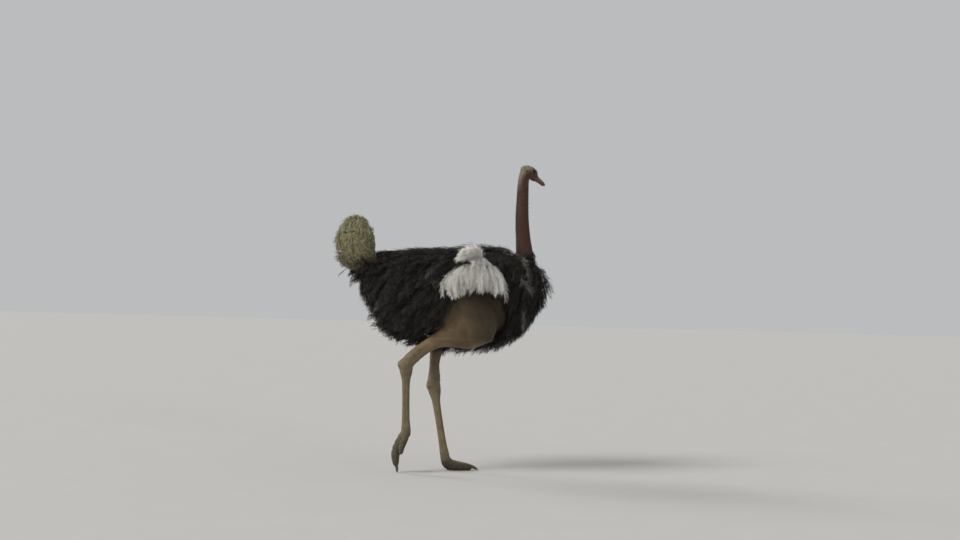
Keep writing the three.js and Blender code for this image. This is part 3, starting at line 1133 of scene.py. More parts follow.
@dataclass
class Flesh:
    """The rounded bodies that make the bird under its feathers.

    Args:
        plan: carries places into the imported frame.
        bare: how far bare skin lies inside the outline.
        down: how far the neck's skin lies inside it, under short down.
    """

    plan: Plan
    bare: float = 0.002
    down: float = 0.005

    def lofted(self, rows: Rows, inset: float, **kind: object) -> Sleeve:
        """A sleeve through stations of x, y, z, half width and half depth, shrunk by inset."""
        stations = self.plan.place(rows)
        stations[:, 3:5] -= inset
        return Sleeve(stations, **kind)

    def trunk(self) -> Sleeve:
        """The trunk without its feathers.

        Returns:
            The shape, as a sleeve.
        """
        rows = [
            (-0.515, 1.285, 1.265, 0.012), (-0.5, 1.32, 1.23, 0.05), (-0.43, 1.38, 1.145, 0.112),
            (-0.34, 1.408, 1.055, 0.17), (-0.2, 1.428, 0.945, 0.212), (0.00, 1.446, 0.892, 0.228),
            (0.22, 1.46, 0.884, 0.222), (0.4, 1.466, 0.89, 0.214), (0.54, 1.452, 0.912, 0.192),
            (0.65, 1.41, 0.992, 0.15), (0.71, 1.368, 1.085, 0.112), (0.75, 1.322, 1.158, 0.07),
            (0.768, 1.275, 1.215, 0.024), (0.772, 1.252, 1.238, 0.006),
        ]
        stations = [(x, 0, (top + low) / 2, wide, (top - low) / 2) for x, top, low, wide in rows]
        sleeve = self.lofted(stations, 0.0, facing=FORWARD, egg=0.12, domes=(0.3, 0.3))
        sleeve.shape = lambda u, a: 1 + 0.1 * np.maximum(np.sin(a), 0) * np.sin(2 * a) ** 2
        return sleeve

    def rump(self) -> Sleeve:
        """The stub that the tail grows from."""
        rows = [(-0.36, 0, 1.285, 0.11, 0.06), (-0.47, 0, 1.32, 0.105, 0.05), (-0.54, 0, 1.362, 0.088, 0.036)]
        return self.lofted(rows, 0.0)

    def neck(self) -> Sleeve:
        """The neck, from inside the breast to the skull.

        Returns:
            The shape, as a sleeve.
        """
        rows = [
            (0.54, 0, 1.24, 0.074, 0.092), (0.622, 0, 1.345, 0.062, 0.08), (0.634, 0, 1.45, 0.056, 0.068),
            (0.62, 0, 1.56, 0.05, 0.057), (0.605, 0, 1.7, 0.047, 0.051), (0.602, 0, 1.85, 0.043, 0.046),
            (0.604, 0, 1.965, 0.038, 0.042), (0.618, 0, 2.03, 0.035, 0.039),
        ]
        return self.lofted(rows, self.down, domes=(0.5, 0.8))

    def skull(self) -> Sleeve:
        """The head without bill or eyes.

        Returns:
            The shape, as a sleeve.
        """
        rows = [
            (0.014, 0, 0.002, 0.026, 0.027), (0.036, 0, 0.006, 0.037, 0.038),
            (0.064, 0, 0.007, 0.041, 0.042), (0.092, 0, 0.003, 0.037, 0.037),
            (0.112, 0, -0.004, 0.031, 0.027), (0.124, 0, -0.0065, 0.0285, 0.0185),
        ]
        return self.lofted(Head.on_head(rows), 0.0025, domes=(0.7, 0.3))

    def jaw(self) -> Sleeve:
        """The underside of the head, from the throat to the root of the lower bill.

        Returns:
            The shape, as a sleeve.
        """
        rows = [
            (0.03, 0, -0.012, 0.026, 0.022), (0.062, 0, -0.019, 0.03, 0.017),
            (0.092, 0, -0.0235, 0.0275, 0.0115), (0.112, 0, -0.025, 0.0258, 0.009),
            (0.12, 0, -0.0255, 0.0246, 0.0074),
        ]
        return self.lofted(Head.on_head(rows), 0.0, domes=(0.6, 0.3))

    def wing(self, side: Side) -> Sleeve:
        """A folded wing's arm, which its feathers grow from.

        Args:
            side: which side of the bird.

        Returns:
            The shape, as a sleeve.
        """
        rows = [
            (0.5, 0.15, 1.33, 0.03, 0.055), (0.4, 0.196, 1.348, 0.034, 0.078),
            (0.24, 0.228, 1.364, 0.034, 0.08), (0.08, 0.236, 1.368, 0.034, 0.072),
            (-0.07, 0.222, 1.35, 0.028, 0.056), (-0.15, 0.206, 1.322, 0.02, 0.036),
        ]
        return self.lofted([(x, y * side.value, z, w, d) for x, y, z, w, d in rows], 0.0)

    def leg_part(self, start: Sequence[float], end: Sequence[float], rows: Rows) -> Sleeve:
        """A part of a leg between two joints, from rows of share, half width and half depth."""
        a, b = np.array(start), np.array(end)
        return self.lofted([(*(a + (b - a) * t), w, d) for t, w, d in rows], self.bare)

    def thigh(self, side: Side) -> Sleeve:
        """The thigh, from the hip to the knee.

        Args:
            side: which side of the bird.

        Returns:
            The shape, as a sleeve.
        """
        leg = LEGS[side]
        rows = [
            (0.1, 0.11, 0.135), (0.45, 0.126, 0.184), (0.85, 0.109, 0.175), (1.06, 0.095, 0.148),
            (1.2, 0.074, 0.11), (1.28, 0.04, 0.056),
        ]
        return self.leg_part(leg.hip, leg.knee, rows)

    def drumstick(self, side: Side) -> Sleeve:
        """The drumstick, from the knee to the ankle joint.

        Args:
            side: which side of the bird.

        Returns:
            The shape, as a sleeve.
        """
        leg = LEGS[side]
        a, b = np.array(leg.knee), np.array(leg.ankle)
        rear = np.array([b[2] - a[2], 0, a[0] - b[0]]) / math.hypot(b[0] - a[0], b[2] - a[2])
        rows = [(*(a + (b - a) * t + rear * bow), w, d) for t, bow, w, d in leg.calf]
        return self.lofted(rows, self.bare)

    def shank(self, side: Side) -> Sleeve:
        """The shank, from the ankle joint to the toes.

        Args:
            side: which side of the bird.

        Returns:
            The shape, as a sleeve.
        """
        leg = LEGS[side]
        rows = [
            (-0.03, 0.04, 0.05), (0.1, 0.037, 0.043), (0.24, 0.026, 0.028), (0.5, 0.023, 0.0245),
            (0.78, 0.024, 0.026), (0.93, 0.031, 0.032), (1.02, 0.033, 0.033),
        ]
        return self.leg_part(leg.ankle, leg.foot, rows)

    def from_foot(self, side: Side, rows: Rows, inset: float = 0.0) -> Sleeve:
        """A sleeve from rows of forward, outward, up, half width and half depth, measured from a foot."""
        x, y, z = LEGS[side].foot
        return self.lofted([(x + f, y + o * side.value, z + u, w, d) for f, o, u, w, d in rows], inset)

    def toe_inner(self, side: Side) -> Sleeve:
        """The great toe.

        Args:
            side: which side of the bird.

        Returns:
            The shape, as a sleeve.
        """
        rows = {
            Side.LEFT: [
                (-0.003, 0, 0.008, 0.031, 0.031), (0.03, 0, -0.026, 0.032, 0.031),
                (0.068, 0, -0.043, 0.034, 0.035), (0.11, 0, -0.048, 0.031, 0.031),
                (0.148, 0, -0.052, 0.028, 0.027), (0.18, 0, -0.055, 0.023, 0.022),
            ],
            Side.RIGHT: [
                (0.002, 0, 0.012, 0.031, 0.03), (-0.032, 0, -0.044, 0.033, 0.031),
                (-0.056, 0, -0.094, 0.033, 0.031), (-0.067, -0.001, -0.142, 0.03, 0.028),
                (-0.065, -0.002, -0.178, 0.026, 0.024), (-0.06, -0.003, -0.204, 0.02, 0.019),
            ],
        }
        return self.from_foot(side, rows[side], 0.001)

    def toe_outer(self, side: Side) -> Sleeve:
        """The small toe.

        Args:
            side: which side of the bird.

        Returns:
            The shape, as a sleeve.
        """
        rows = {
            Side.LEFT: [
                (0.002, 0.018, -0.012, 0.022, 0.022), (0.022, 0.044, -0.036, 0.022, 0.024),
                (0.054, 0.062, -0.054, 0.021, 0.024), (0.088, 0.074, -0.058, 0.016, 0.019),
            ],
            Side.RIGHT: [
                (-0.004, 0.016, -0.014, 0.022, 0.022), (-0.026, 0.038, -0.048, 0.022, 0.022),
                (-0.046, 0.05, -0.088, 0.02, 0.02), (-0.052, 0.054, -0.124, 0.015, 0.015),
            ],
        }
        return self.from_foot(side, rows[side], 0.001)

    def claw(self, side: Side) -> Sleeve:
        """The great toe's claw.

        Args:
            side: which side of the bird.

        Returns:
            The shape, as a sleeve.
        """
        rows = {
            Side.LEFT: [
                (0.17, 0, -0.049, 0.015, 0.012), (0.188, 0, -0.05, 0.0145, 0.0125),
                (0.206, 0, -0.055, 0.0125, 0.011), (0.226, 0, -0.065, 0.008, 0.008),
                (0.238, 0, -0.0715, 0.0038, 0.004),
            ],
            Side.RIGHT: [
                (-0.061, -0.003, -0.19, 0.0145, 0.012), (-0.059, -0.003, -0.206, 0.014, 0.012),
                (-0.054, -0.003, -0.224, 0.012, 0.0105), (-0.051, -0.003, -0.243, 0.0085, 0.0085),
                (-0.05, -0.003, -0.2525, 0.0055, 0.0055),
            ],
        }
        return self.from_foot(side, rows[side])

    def whole(self) -> list[Sleeve]:
        """Every body that the one skin covers.

        Returns:
            The bodies.
        """
        parts = [self.trunk(), self.rump(), self.neck(), self.skull(), self.jaw()]
        for side in Side:
            parts += [self.wing(side), self.thigh(side), self.drumstick(side), self.shank(side)]
            parts += [self.toe_inner(side), self.toe_outer(side)]
        return parts

    def on_toes(self, points: Array) -> Array:
        """How far each point belongs to the dark toes rather than the shank above them.

        Args:
            points: places, one a row.

        Returns:
            Levels from 0 to 1.
        """
        level = np.zeros(len(points))
        for side in Side:
            foot = np.array(LEGS[side].foot) + FORWARD * self.plan.shift
            below = ease(0.055, -0.045, points[:, 2] - foot[2])
            level = np.where(of_leg(points, side), below, level)
        return level

    def bare_leg(self, points: Array, margin: float = 0.0) -> Array:
        """How deep each point lies within the bare part of a leg, seen from the side: above 0 is inside.

        Args:
            points: places, one a row.
            margin: how much further out the bare part reaches.

        Returns:
            The depths.
        """
        x, y, z = self.plan.from_hips(points).T
        ragged = 0.018 * np.sin(x * 61 + y * 23) + 0.012 * np.sin(x * 143 + 1.7)
        depth = np.full(len(points), -1.0)
        for side in Side:
            leg = LEGS[side]
            ahead, up, long, tall = leg.bare
            thigh = 1 - np.hypot((x - ahead) / (long + margin), (z - up + ragged) / (tall + margin))
            share, away = leg.off_calf(x, z)
            reach = np.interp(share, [0, 0.2, 0.5, 1], leg.edge) + margin
            inside = np.maximum(thigh, 1 - (away + 0.4 * ragged) / reach)
            depth = np.where(y * side.value > 0.02, inside, depth)
        return depth


@dataclass(frozen=True)
class Lens:
    """Magnifies the finer parts of the bird, so that one remesh gives each part its own grain.

    Args:
        shift: the hips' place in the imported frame.
        grain: the remesh size where the lens doesn't magnify.
        heights: heights with a known power.
        powers: how many times finer the mesh is there.
    """

    shift: float
    grain: float = 0.0098
    heights: tuple[float, ...] = (-0.2, 0.27, 0.42, 0.6, 0.72, 0.8, 0.88, 1.46, 1.58, 1.9, 1.985, 2.2)
    powers: tuple[float, ...] = (3.0, 3.0, 2.3, 2.2, 1.7, 1.5, 1.0, 1.0, 1.6, 1.8, 3.7, 3.7)

    def axis(self, y: Array, z: Array) -> Array:
        """The X that stays in place at each point."""
        low = np.where(y < BETWEEN_LEGS, -0.1, 0.07)
        return np.where(z > 1.2, 0.605, low) + self.shift

    def table(self) -> tuple[Array, Array]:
        """Heights and what they become."""
        z = np.linspace(-0.2, 2.2, 2401)
        power = np.interp(z, self.heights, self.powers)
        return z, np.concatenate([[0], np.cumsum((power[1:] + power[:-1]) / 2 * np.diff(z))]) - 0.6

    def magnify(self, points: Array) -> Array:
        """Places as the lens shows them.

        Args:
            points: places, one a row.

        Returns:
            The moved places.
        """
        z, grown = self.table()
        power = np.interp(points[:, 2], self.heights, self.powers) - 1
        out = points.copy()
        out[:, 0] += (points[:, 0] - self.axis(points[:, 1], points[:, 2])) * power
        out[:, 1] *= power + 1
        out[:, 2] = np.interp(points[:, 2], z, grown)
        return out

    def restore(self, points: Array) -> Array:
        """Places as they were before the lens.

        Args:
            points: places, one a row.

        Returns:
            The moved places.
        """
        z, grown = self.table()
        out = points.copy()
        out[:, 2] = np.interp(points[:, 2], grown, z)
        power = np.interp(out[:, 2], self.heights, self.powers) - 1
        out[:, 1] /= power + 1
        out[:, 0] = (points[:, 0] + self.axis(out[:, 1], out[:, 2]) * power) / (power + 1)
        return out


# the pale strokes on the bird's sides: start and end as x and z from the hips, and half width
STROKES = (
    ((0.545, 1.47), (0.57, 1.385), 0.012), ((0.57, 1.385), (0.6, 1.29), 0.01),
    ((0.525, 1.295), (0.59, 1.225), 0.014), ((0.56, 1.11), (0.575, 1.03), 0.01),
    ((-0.44, 1.12), (-0.425, 1.02), 0.016), ((-0.15, 1.33), (-0.04, 1.215), 0.014),
)


def markings(points: Array, plan: Plan) -> Array:
    """How pale the skin and plumage are at each place: pale along the strokes on the bird's sides.

    Args:
        points: places, one a row.
        plan: the bird's sizes and joints.

    Returns:
        Levels from 0 to 1.
    """
    flat = np.stack([points[:, 0] - plan.shift, points[:, 2]], axis=1)
    level = np.zeros(len(points))
    for start, end, half in STROKES:
        level = np.maximum(level, bump(0, half * 1.6, off_segment(flat, start, end)))
    outside = ease(0.04, 0.09, np.abs(points[:, 1]))
    return level * outside


@dataclass
class Eyes:
    """The two eyes: balls with clear raised fronts, lids round them and lashes.

    Args:
        plan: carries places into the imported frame.
        centre: the left eye's centre in the head's frame.
        radius: of the ball.
        opening: half the length of the gap between the lids.
        upper: how far the gap reaches up.
        lower: how far it reaches down.
        lid: how thick the lids are.
        front: how far the clear front stands out.
    """

    plan: Plan
    centre: Triple = (0.074, 0.024, 0.012)
    radius: float = 0.0203
    opening: float = 0.0158
    upper: float = 0.0112
    lower: float = 0.0108
    lid: float = 0.0017
    front: float = 0.0011

    def frame(self, side: Side) -> tuple[Array, Array, Array, Array]:
        """An eye's centre with its outward, forward and up directions.

        Args:
            side: which side of the bird.

        Returns:
            The centre, and the three directions.
        """
        x, y, z = self.centre
        place = self.plan.place(Head.on_head([(x, y * side.value, z)]))[0]
        ahead, up = Head.axes()
        out = unit(ACROSS * side.value + ahead * 0.16 + up * 0.04)
        return place, out, unit(ahead - out * (ahead @ out)), up

    def gap(self, turn: Array) -> Array:
        """The angle off the outward direction where the lids' edge lies, at each turn round the eye.

        Args:
            turn: turns round the eye.

        Returns:
            The angle for each turn.
        """
        tall = np.where(np.sin(turn) > 0, self.upper, self.lower)
        reach = 1 / np.hypot(np.cos(turn) / self.opening, np.sin(turn) / tall)
        reach *= 1 + 0.1 * np.abs(np.cos(turn)) ** 10
        return np.arcsin(np.clip(reach / (self.radius + self.lid), 0, 0.96))

    def polar(self, points: Array, side: Side) -> tuple[Array, Array, Array]:
        """Distance from an eye's centre, angle off its outward direction and turn round it.

        Args:
            points: places, one a row.
            side: which side of the bird.

        Returns:
            The distances, the angles and the turns.
        """
        place, out, ahead, up = self.frame(side)
        away = points - place
        r = np.linalg.norm(away, axis=1)
        off = np.arccos(np.clip((away @ out) / np.maximum(r, 1e-9), -1, 1))
        return r, off, np.arctan2(away @ up, away @ ahead)

    def from_polar(self, r: Array, off: Array, turn: Array, side: Side) -> Array:
        """Places from distance, angle off the outward direction and turn.

        Args:
            r: distances from its centre.
            off: angles off its outward direction.
            turn: turns round the eye.
            side: which side of the bird.

        Returns:
            The places, one a row.
        """
        place, out, ahead, up = self.frame(side)
        around = ahead * np.cos(turn)[..., None] + up * np.sin(turn)[..., None]
        way = out * np.cos(off)[..., None] + around * np.sin(off)[..., None]
        return place + way * np.asarray(r)[..., None]

    def socket(self, points: Array) -> Array:
        """Skin points near the eyes, sunk within the lids' gap and lifted over the ball round it.

        Args:
            points: places, one a row.

        Returns:
            The moved places.
        """
        out = points.copy()
        for side in Side:
            r, off, turn = self.polar(points, side)
            within = ease(0.06, -0.02, off - self.gap(turn) - 0.05)
            cap = np.maximum(r, (self.radius + self.front) * ease(1.6, 1.1, off))
            sunk = np.minimum(r, self.radius - 0.0025)
            moved = self.from_polar(cap + (sunk - cap) * within, off, turn, side)
            out = np.where(((r < 0.034) & (off < 1.5))[:, None], moved, out)
        return out

    def lid_shell(self, side: Side) -> tuple[Array, list[tuple[int, ...]]]:
        """The lids of one eye as a closed ring that is thickest at its edge.

        Args:
            side: which side of the bird.

        Returns:
            The points, and the faces as their numbers.
        """
        turns = np.linspace(0, 2 * math.pi, 73)[:-1]
        profile = (
            (0.42, -0.0006), (0.16, 0.0002), (0.04, 0.0005), (0.0, 0.001), (0.02, 0.0018), (0.08, 0.0022),
            (0.16, 0.0019), (0.26, 0.0021), (0.36, 0.0013), (0.48, -0.0006),
        )
        rings = []
        for add, lift in profile:
            fold = 0.00025 * np.sin(turns * 9 + add * 14) * (add > 0.1)
            rings.append(self.from_polar(self.radius + lift + fold, self.gap(turns) + add, turns, side))
        n, faces = len(turns), []
        for a in range(0, n * len(rings), n):
            b = (a + n) % (n * len(rings))
            faces += [(a + j, b + j, b + (j + 1) % n, a + (j + 1) % n) for j in range(n)]
        return np.vstack(rings), faces

    def ball(self, side: Side) -> Object:
        """One eyeball with a raised clear front, marked with the angle off its outward direction.

        Args:
            side: which side of the bird.

        Returns:
            The eyeball's object.
        """
        place, out, _, _ = self.frame(side)
        deselect()
        bpy.ops.mesh.primitive_uv_sphere_add(segments=64, ring_count=48, radius=self.radius)
        obj = bpy.context.object
        obj.name = f"eyeball_{side.word}"
        turn = Vector((0, 0, 1)).rotation_difference(Vector(out)).to_matrix()
        points = places(obj) @ np.array(turn).T + place
        r, off, about = self.polar(points, side)
        r = r + self.front * ease(0.62, 0.1, off)
        move_to(obj, self.from_polar(r, off, about, side))
        note(obj, "off", off / math.pi)
        note(obj, "ray_x", np.cos(about) * 0.5 + 0.5)
        note(obj, "ray_y", np.sin(about) * 0.5 + 0.5)
        outward(obj)
        return obj

    def lashes(self, rng: Rng) -> list[Strands]:
        """Stiff dark lashes along the lids' edges.

        Args:
            rng: the source of random numbers.

        Returns:
            The lashes, in groups.
        """
        made = []
        for side in Side:
            turn = np.concatenate([np.linspace(0.22, 2.95, 46), np.linspace(3.5, 5.95, 26)])
            turn = turn + rng.normal(0, 0.03, len(turn))
            upper = turn < math.pi
            _, out, ahead, up = self.frame(side)
            edge = self.from_polar(self.radius + 0.0016, self.gap(turn) + 0.03, turn, side)
            length = np.where(upper, 0.0135, 0.0075) * (1 + rng.normal(0, 0.14, len(turn)))
            lean = up * np.where(upper, 0.35, -0.75)[:, None] + ahead * (np.cos(turn) * 0.7)[:, None]
            way = unit(out + lean + rng.normal(0, 0.1, (len(turn), 3)))
            t = np.linspace(0, 1, 5)[None, :, None]
            bend = up * np.where(upper, 0.45, -0.1)[:, None, None]
            line = edge[:, None] + length[:, None, None] * (way[:, None] * t + bend * t**2)
            width = np.linspace(0.00034, 0.0001, 5)[None] * np.ones((len(turn), 1))
            flat = np.repeat(ahead[None], len(turn), 0)
            share = (turn / 7.0 + 0.05) * 0.46 + 0.5 * (side is Side.RIGHT)
            maps = np.stack([share, np.linspace(0.05, 0.95, len(turn))], axis=1)
            made.append(Strands(line, width, flat, maps, *np.zeros((3, len(turn)))))
        return made


@dataclass
class Skin:
    """The one skin over the whole bird, with its folds, pads and lids.

    Args:
        flesh: the bodies it covers.
        eyes: whose sockets and lids it makes.
    """

    flesh: Flesh
    eyes: Eyes

    def remeshed(self) -> Object:
        """All the bodies grown into one closed mesh.

        Returns:
            The skin's mesh object.
        """
        lens = Lens(self.flesh.plan.shift)
        parts = []
        for number, sleeve in enumerate(self.flesh.whole()):
            points, faces = sleeve.mesh(40, 48)
            part = new_object(f"flesh_{number}", lens.magnify(points), faces)
            outward(part)
            parts.append(part)
        skin = join("skin", parts)
        apply_modifier(skin, "REMESH", mode="VOXEL", voxel_size=lens.grain, adaptivity=0.0)
        apply_modifier(skin, "SMOOTH", factor=0.5, iterations=5)
        height = lens.restore(places(skin))[:, 2]
        broad = ease(0.8, 0.86, height) * ease(1.5, 1.44, height)
        group = skin.vertex_groups.new(name="broad")
        for n in np.flatnonzero(broad > 0.01):
            group.add([int(n)], float(broad[n]), "REPLACE")
        apply_modifier(skin, "SMOOTH", factor=0.6, iterations=40, vertex_group="broad")
        move_to(skin, lens.restore(places(skin)))
        return skin

    def sculpt(self, skin: Object) -> None:
        """Moves the skin's points into brows, ears, folds, tendons and pads.

        Args:
            skin: the skin's mesh object.
        """
        points, normals = places(skin), point_normals(skin)
        f, s, u = Head.to_head(points, self.flesh.plan).T
        on_head = points[:, 2] > 1.93
        beside = ease(0.012, 0.03, np.abs(s))
        brow = bump(0.076, 0.022, f) * bump(0.031, 0.008, u) * beside
        cheek = bump(0.066, 0.02, f) * bump(-0.016, 0.012, u) * beside
        ear = bump(0.034, 0.0055, f) * bump(-0.006, 0.0065, u) * beside
        rim = bump(0.0085, 0.0028, np.hypot(f - 0.034, u + 0.006)) * beside
        gape = bump(0.101, 0.013, f) * bump(-0.0165, 0.0026, u) * beside
        lore = bump(0.108, 0.012, f) * bump(0.006, 0.01, u) * ease(0.01, 0.022, np.abs(s))
        crown = bump(0.055, 0.03, f) * bump(0, 0.014, s) * ease(0.02, 0.035, u)
        head = 0.0034 * brow + 0.0016 * cheek - 0.0062 * ear + 0.0014 * rim - 0.0026 * gape - 0.002 * lore
        lift = np.where(on_head, head - 0.0022 * crown, 0)
        lift += self.neck_folds(points) + self.leg_forms(points, normals) + self.thigh_forms(points, normals)
        points = points + normals * lift[:, None]
        points = np.where(on_head[:, None], self.eyes.socket(points), points)
        points[:, 2] = np.maximum(points[:, 2], GROUND)
        move_to(skin, points)

    def neck_folds(self, points: Array) -> Array:
        """Shallow rings where the neck bends, and the windpipe's ridge down its front.

        Args:
            points: places, one a row.

        Returns:
            How far to lift each place.
        """
        x, y, z = self.flesh.plan.from_hips(points).T
        on_neck = ease(1.42, 1.55, z) * ease(2.03, 1.95, z)
        swell = 0.5 + 0.5 * np.sin(z * 23 + x * 17)
        wave = np.sin(z * 262 + 3.1 * np.sin(y * 38 + z * 13) + x * 31) * swell
        front = ease(0.6, 0.635, x) * bump(0.006, 0.014, y)
        return on_neck * (0.0008 * wave + 0.003 * front)

    def leg_forms(self, points: Array, normals: Array) -> Array:
        """Muscles and creases on the bare legs, and tendons behind their joints.

        Args:
            points: places, one a row.
            normals: the skin's normal at each place.

        Returns:
            How far to lift each place.
        """
        lift = np.zeros(len(points))
        place = self.flesh.plan.from_hips(points)
        x, y, z = place.T
        for side in Side:
            leg = LEGS[side]
            mine = of_leg(points, side) & (z < 1.0)
            t, down = along_bone(place, leg.knee, leg.ankle)
            rear = normals @ np.cross(ACROSS, down)
            tendon = ease(-0.1, 0.8, rear) * ease(0.52, 0.72, t) * ease(1.02, 0.9, t)
            groove = ease(0.5, 0.1, np.abs(rear)) * ease(0.5, 0.72, t) * ease(1.0, 0.9, t)
            belly = bump(0.2, 0.2, t) * ease(0.2, 0.9, np.abs(rear))
            form = 0.006 * tendon - 0.0035 * groove + 0.004 * belly
            wrinkle = np.sin(t * 96 + 2.4 * np.sin(y * 60 + x * 40))
            form += 0.0009 * wrinkle * ease(0.55, 0.8, t) * ease(1.25, 1.0, t)
            lift += np.where(mine & (t > -0.2) & (t < 1.15) & (z > leg.ankle[2] - 0.05), form, 0)
            s, down = along_bone(place, leg.ankle, leg.foot)
            rear = normals @ np.cross(ACROSS, down)
            above = ease(0.96, 0.8, s)
            sinew = ease(0.55, 1.0, rear) * ease(0.12, 0.3, s) * above
            hollow = ease(0.35, 0.0, np.abs(rear - 0.35)) * ease(0.15, 0.3, s)
            lift += np.where(mine & (s > 0.05) & (s < 1.0), 0.003 * sinew - 0.0028 * hollow * above, 0)
        return lift

    def thigh_forms(self, points: Array, normals: Array) -> Array:
        """Shallow grooves between the muscles of the thighs, and creases between the pads of the toes.

        Args:
            points: places, one a row.
            normals: the skin's normal at each place.

        Returns:
            How far to lift each place.
        """
        place = self.flesh.plan.from_hips(points)
        flat = place[:, [0, 2]]
        lift = np.zeros(len(points))
        for side in Side:
            leg = LEGS[side]
            hip, knee, foot = np.array(leg.hip), np.array(leg.knee), np.array(leg.foot)
            outside = ease(0.25, 0.8, normals[:, 1] * side.value) * (points[:, 2] > 0.8)
            rear = off_segment(flat, hip[[0, 2]] + (-0.03, 0.02), knee[[0, 2]] + (-0.11, -0.075))
            front = off_segment(flat, hip[[0, 2]] + (0.1, 0.03), knee[[0, 2]] + (0.035, -0.055))
            lift -= outside * (0.0075 * bump(0, 0.016, rear) + 0.0055 * bump(0, 0.014, front))
            away = np.linalg.norm(place - foot, axis=1)
            on_toe = of_leg(points, side) & (place[:, 2] < foot[2] + 0.01)
            crease = sum(bump(at, 0.0045, away) for at in (0.066, 0.103, 0.138))
            pad = sum(bump(at, 0.012, away) for at in (0.048, 0.085, 0.121, 0.156))
            below = ease(0.55, 0.0, normals @ (UP if side is Side.LEFT else FORWARD))
            form = 0.0016 * pad - 0.0026 * crease
            lift += np.where(on_toe, form, 0) * ease(0.03, 0.05, away) * below
        return lift

    def zones(self, skin: Object) -> None:
        """Notes for the material: where the face, neck, bare leg, scales and pale strokes are, and where
        shade and light are painted.

        Args:
            skin: the skin's mesh object.
        """
        points, normals = places(skin), point_normals(skin)
        place = self.flesh.plan.from_hips(points)
        x, y, z = place.T
        f, s, u = Head.to_head(points, self.flesh.plan).T
        neck = ease(1.42, 1.5, z + 0.02 * np.sin(y * 70)) * ease(0.49, 0.54, x)
        face = ease(0.05, 0.078, f + 0.15 * np.abs(s)) * ease(0.045, 0.02, u)
        # above the knees the legs' inner sides keep the covered skin's dark colour: partly that skin's own
        # colour, partly painted shade under the belly plumage
        leg = ease(-0.1, 0.04, self.flesh.bare_leg(points)) * ease(0.09, 0.14, np.abs(y))
        low, scale = ease(0.86, 0.8, z), np.zeros(len(points))
        for side in Side:
            t, _ = along_bone(place, LEGS[side].knee, LEGS[side].ankle)
            scale = np.where(of_leg(points, side), ease(0.62, 0.92, t) * low, scale)
        ahead = x - np.where(y < 0, 0.235, 0.15) + 0.25 * (z - 1.0)
        # rear: paler where the skin faces back on the upper neck and back and up on the head, partly the
        # down's own cast and partly painted rim light and top light
        rear = ease(-0.35, -0.92, normals[:, 0]) * neck * (0.08 + 0.92 * ease(1.88, 2.00, z))
        rear += (Head.crown_share(normals) - rear) * ease(1.96, 2.03, z)
        note(skin, "toe", self.flesh.on_toes(points))
        note(skin, "neck", neck)
        note(skin, "face", face * ease(1.9, 1.98, z))
        note(skin, "bare_leg", np.maximum(leg, ease(0.9, 0.84, z)))
        note(skin, "scaly", scale)
        # front: how far the thigh takes painted shade, more towards its front and top
        front = ease(-0.42, 0.06, ahead + 0.02 * np.sin(z * 37))
        note(skin, "front", front * ease(0.82, 0.9, z))
        note(skin, "pale", markings(points, self.flesh.plan))
        note(skin, "rear", rear)

    def build(self, material: Material) -> Object:
        """Makes the skin and dresses it.

        Args:
            material: the material it gets.

        Returns:
            The skin's mesh object.
        """
        skin = self.remeshed()
        self.sculpt(skin)
        lids = [new_object(f"lids_{side.word}", *self.eyes.lid_shell(side)) for side in Side]
        for lid in lids:
            outward(lid)
        skin = join("skin", [skin, *lids])
        self.zones(skin)
        parts = ("thigh", "drumstick", "shank", "toe_inner", "toe_outer")
        nodes = [f"{part}_{side.word}" for side in Side for part in parts]
        finish_piece(skin, "neck_skin", material, "trunk", "neck", "head", *nodes)
        return skin


# ---- bill, claws and scutes ----


def loft(name: str, sleeve: Sleeve, rings: int, sides: int) -> Object:
    """A closed body drawn out ring by ring from a disc at the start of its path.

    Args:
        name: of the object.
        sleeve: the body.
        rings: rings along it, without its rounded ends.
        sides: points round each ring.

    Returns:
        The object.
    """
    points, _ = sleeve.mesh(rings, sides)
    rows = points[1:-1].reshape(-1, sides, 3)
    deselect()
    bpy.ops.mesh.primitive_circle_add(vertices=sides, radius=0.001, fill_type="TRIFAN")
    obj = bpy.context.object
    obj.name = name
    bpy.ops.object.mode_set(mode="EDIT")
    bpy.ops.mesh.select_all(action="SELECT")
    for _ in range(len(rows) - 1):
        bpy.ops.mesh.extrude_region_move(TRANSFORM_OT_translate={"value": (0, 0, 0.001)})
    bpy.ops.object.mode_set(mode="OBJECT")
    raw = places(obj)
    level = np.rint(raw[:, 2] / 0.001).astype(int)
    hub = np.hypot(raw[:, 0], raw[:, 1]) < 1e-4
    turn = np.rint(np.arctan2(raw[:, 1], raw[:, 0]) / (2 * math.pi) * sides).astype(int) % sides
    placed = rows[level, turn]
    placed[hub & (level == 0)] = points[0]
    placed[hub & (level > 0)] = points[-1]
    move_to(obj, placed)
    outward(obj)
    return obj


